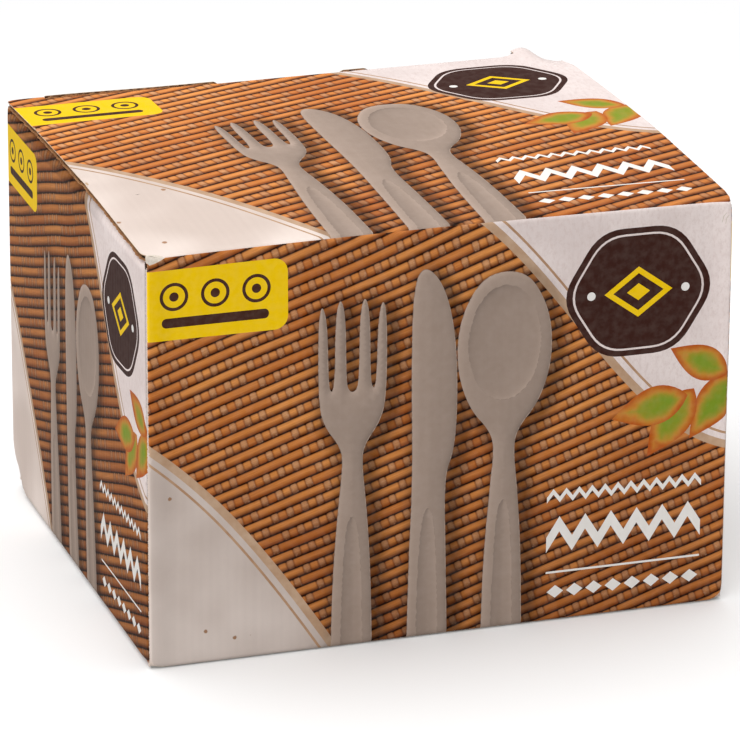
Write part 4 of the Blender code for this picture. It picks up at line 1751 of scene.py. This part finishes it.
def make_world():
    """A white surround for the camera, plain ambient light and a darker surround for reflections."""
    world = bpy.data.worlds.new("studio")
    bpy.context.scene.world = world
    world.use_nodes = True
    nodes = Nodes(world.node_tree)
    background = nodes.tree.nodes["Background"]
    nodes.put(background.inputs["Color"], (1.0, 1.0, 1.0, 1.0))
    ambient = nodes.by_ray(AMBIENT, REFLECTED, "Is Glossy Ray")
    nodes.put(background.inputs["Strength"], nodes.by_ray(ambient, 1.0, *SEEN_RAYS))


def make_floor():
    """A pale floor that keeps the carton's shadow and turns plain white further out."""
    data = bpy.data.meshes.new("floor")
    half = FLOOR_SIZE / 2.0
    corners = [(-half, -half, 0.0), (half, -half, 0.0), (half, half, 0.0), (-half, half, 0.0)]
    data.from_pydata(corners, [], [(0, 1, 2, 3)])
    paint = Paint("floor", FLOOR_ROUGHNESS, 0.0)
    paint.set("Base Color", paint.by_ray(FLOOR_BOUNCE, FLOOR_PALE, "Is Camera Ray"))
    place = paint.add("TexCoord", {}).outputs["Object"]
    away = paint.add("VectorMath", {0: place}, operation="LENGTH").outputs["Value"]
    white = paint.add("Emission", {"Strength": paint.by_ray(FLOOR_BOUNCE, 1.0, *SEEN_RAYS)})
    inputs = {0: paint.between(away, *SHADOW_REACH), 1: paint.shader.outputs[0], 2: white.outputs[0]}
    mixed = paint.add("MixShader", inputs)
    paint.put(paint.tree.nodes["Material Output"].inputs["Surface"], mixed.outputs[0])
    data.materials.append(paint.material)
    link("floor", data)


def make_lamp(name, way, share, spread):
    """A soft lamp like an overcast sun."""
    lamp = bpy.data.lights.new(name, "SUN")
    lamp.energy = share * math.pi
    lamp.angle = math.radians(spread)
    link(name, lamp).rotation_euler = Vector(way).to_track_quat("Z", "Y").to_euler()


# The camera, fitted to the photograph; its offset is in widths of the box
PHOTO_SIDE = 740.0
SENSOR = 36.0
FOCAL_PIXELS = 5592.0
YAW = math.radians(18.12)
PITCH = math.radians(20.23)
ROLL = math.radians(0.30)
CAMERA_OFFSET = (-0.017, 0.039, 9.489)


def make_camera():
    """The camera that sees the carton as the photograph does."""
    forward = Vector((math.sin(YAW) * math.cos(PITCH), math.cos(YAW) * math.cos(PITCH), -math.sin(PITCH)))
    level = Vector((math.cos(YAW), -math.sin(YAW), 0.0))
    upright = level.cross(forward)
    right = math.cos(ROLL) * level + math.sin(ROLL) * upright
    up = -math.sin(ROLL) * level + math.cos(ROLL) * upright
    centre = Vector((0.0, 0.0, HEIGHT / 2.0)) * MM
    across, rise, away = CAMERA_OFFSET
    place = centre - (across * right + rise * up + away * forward) * WIDTH * MM
    data = bpy.data.cameras.new("camera")
    data.sensor_width = SENSOR
    data.lens = FOCAL_PIXELS * SENSOR / PHOTO_SIDE
    camera = link("camera", data)
    camera.matrix_world = Matrix((
        (right.x, up.x, -forward.x, place.x),
        (right.y, up.y, -forward.y, place.y),
        (right.z, up.z, -forward.z, place.z),
        (0.0, 0.0, 0.0, 1.0),
    ))
    bpy.context.scene.camera = camera


def declare(piece):
    """Attaches the piece to the root body, which it moves with, and hides the solid that it dresses."""
    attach(piece, "root")
    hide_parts(NODE)


def main():
    """Sets the stage and builds the carton's pieces."""
    make_camera()
    make_world()
    make_floor()
    for name, settings in LAMPS.items():
        make_lamp(name, *settings)
    bpy.context.scene.view_settings.view_transform = "Standard"
    materials = all_materials()
    skin = Skin()
    add_front(skin)
    add_side(skin, RIGHT)
    add_back(skin)
    add_side(skin, LEFT)
    add_lid(skin)
    declare(skin.make("printed_liner", materials))
    for build in (lid_edges, back_edge, base_flaps, base_edges, painted_shade_box):
        declare(build(materials))


main()
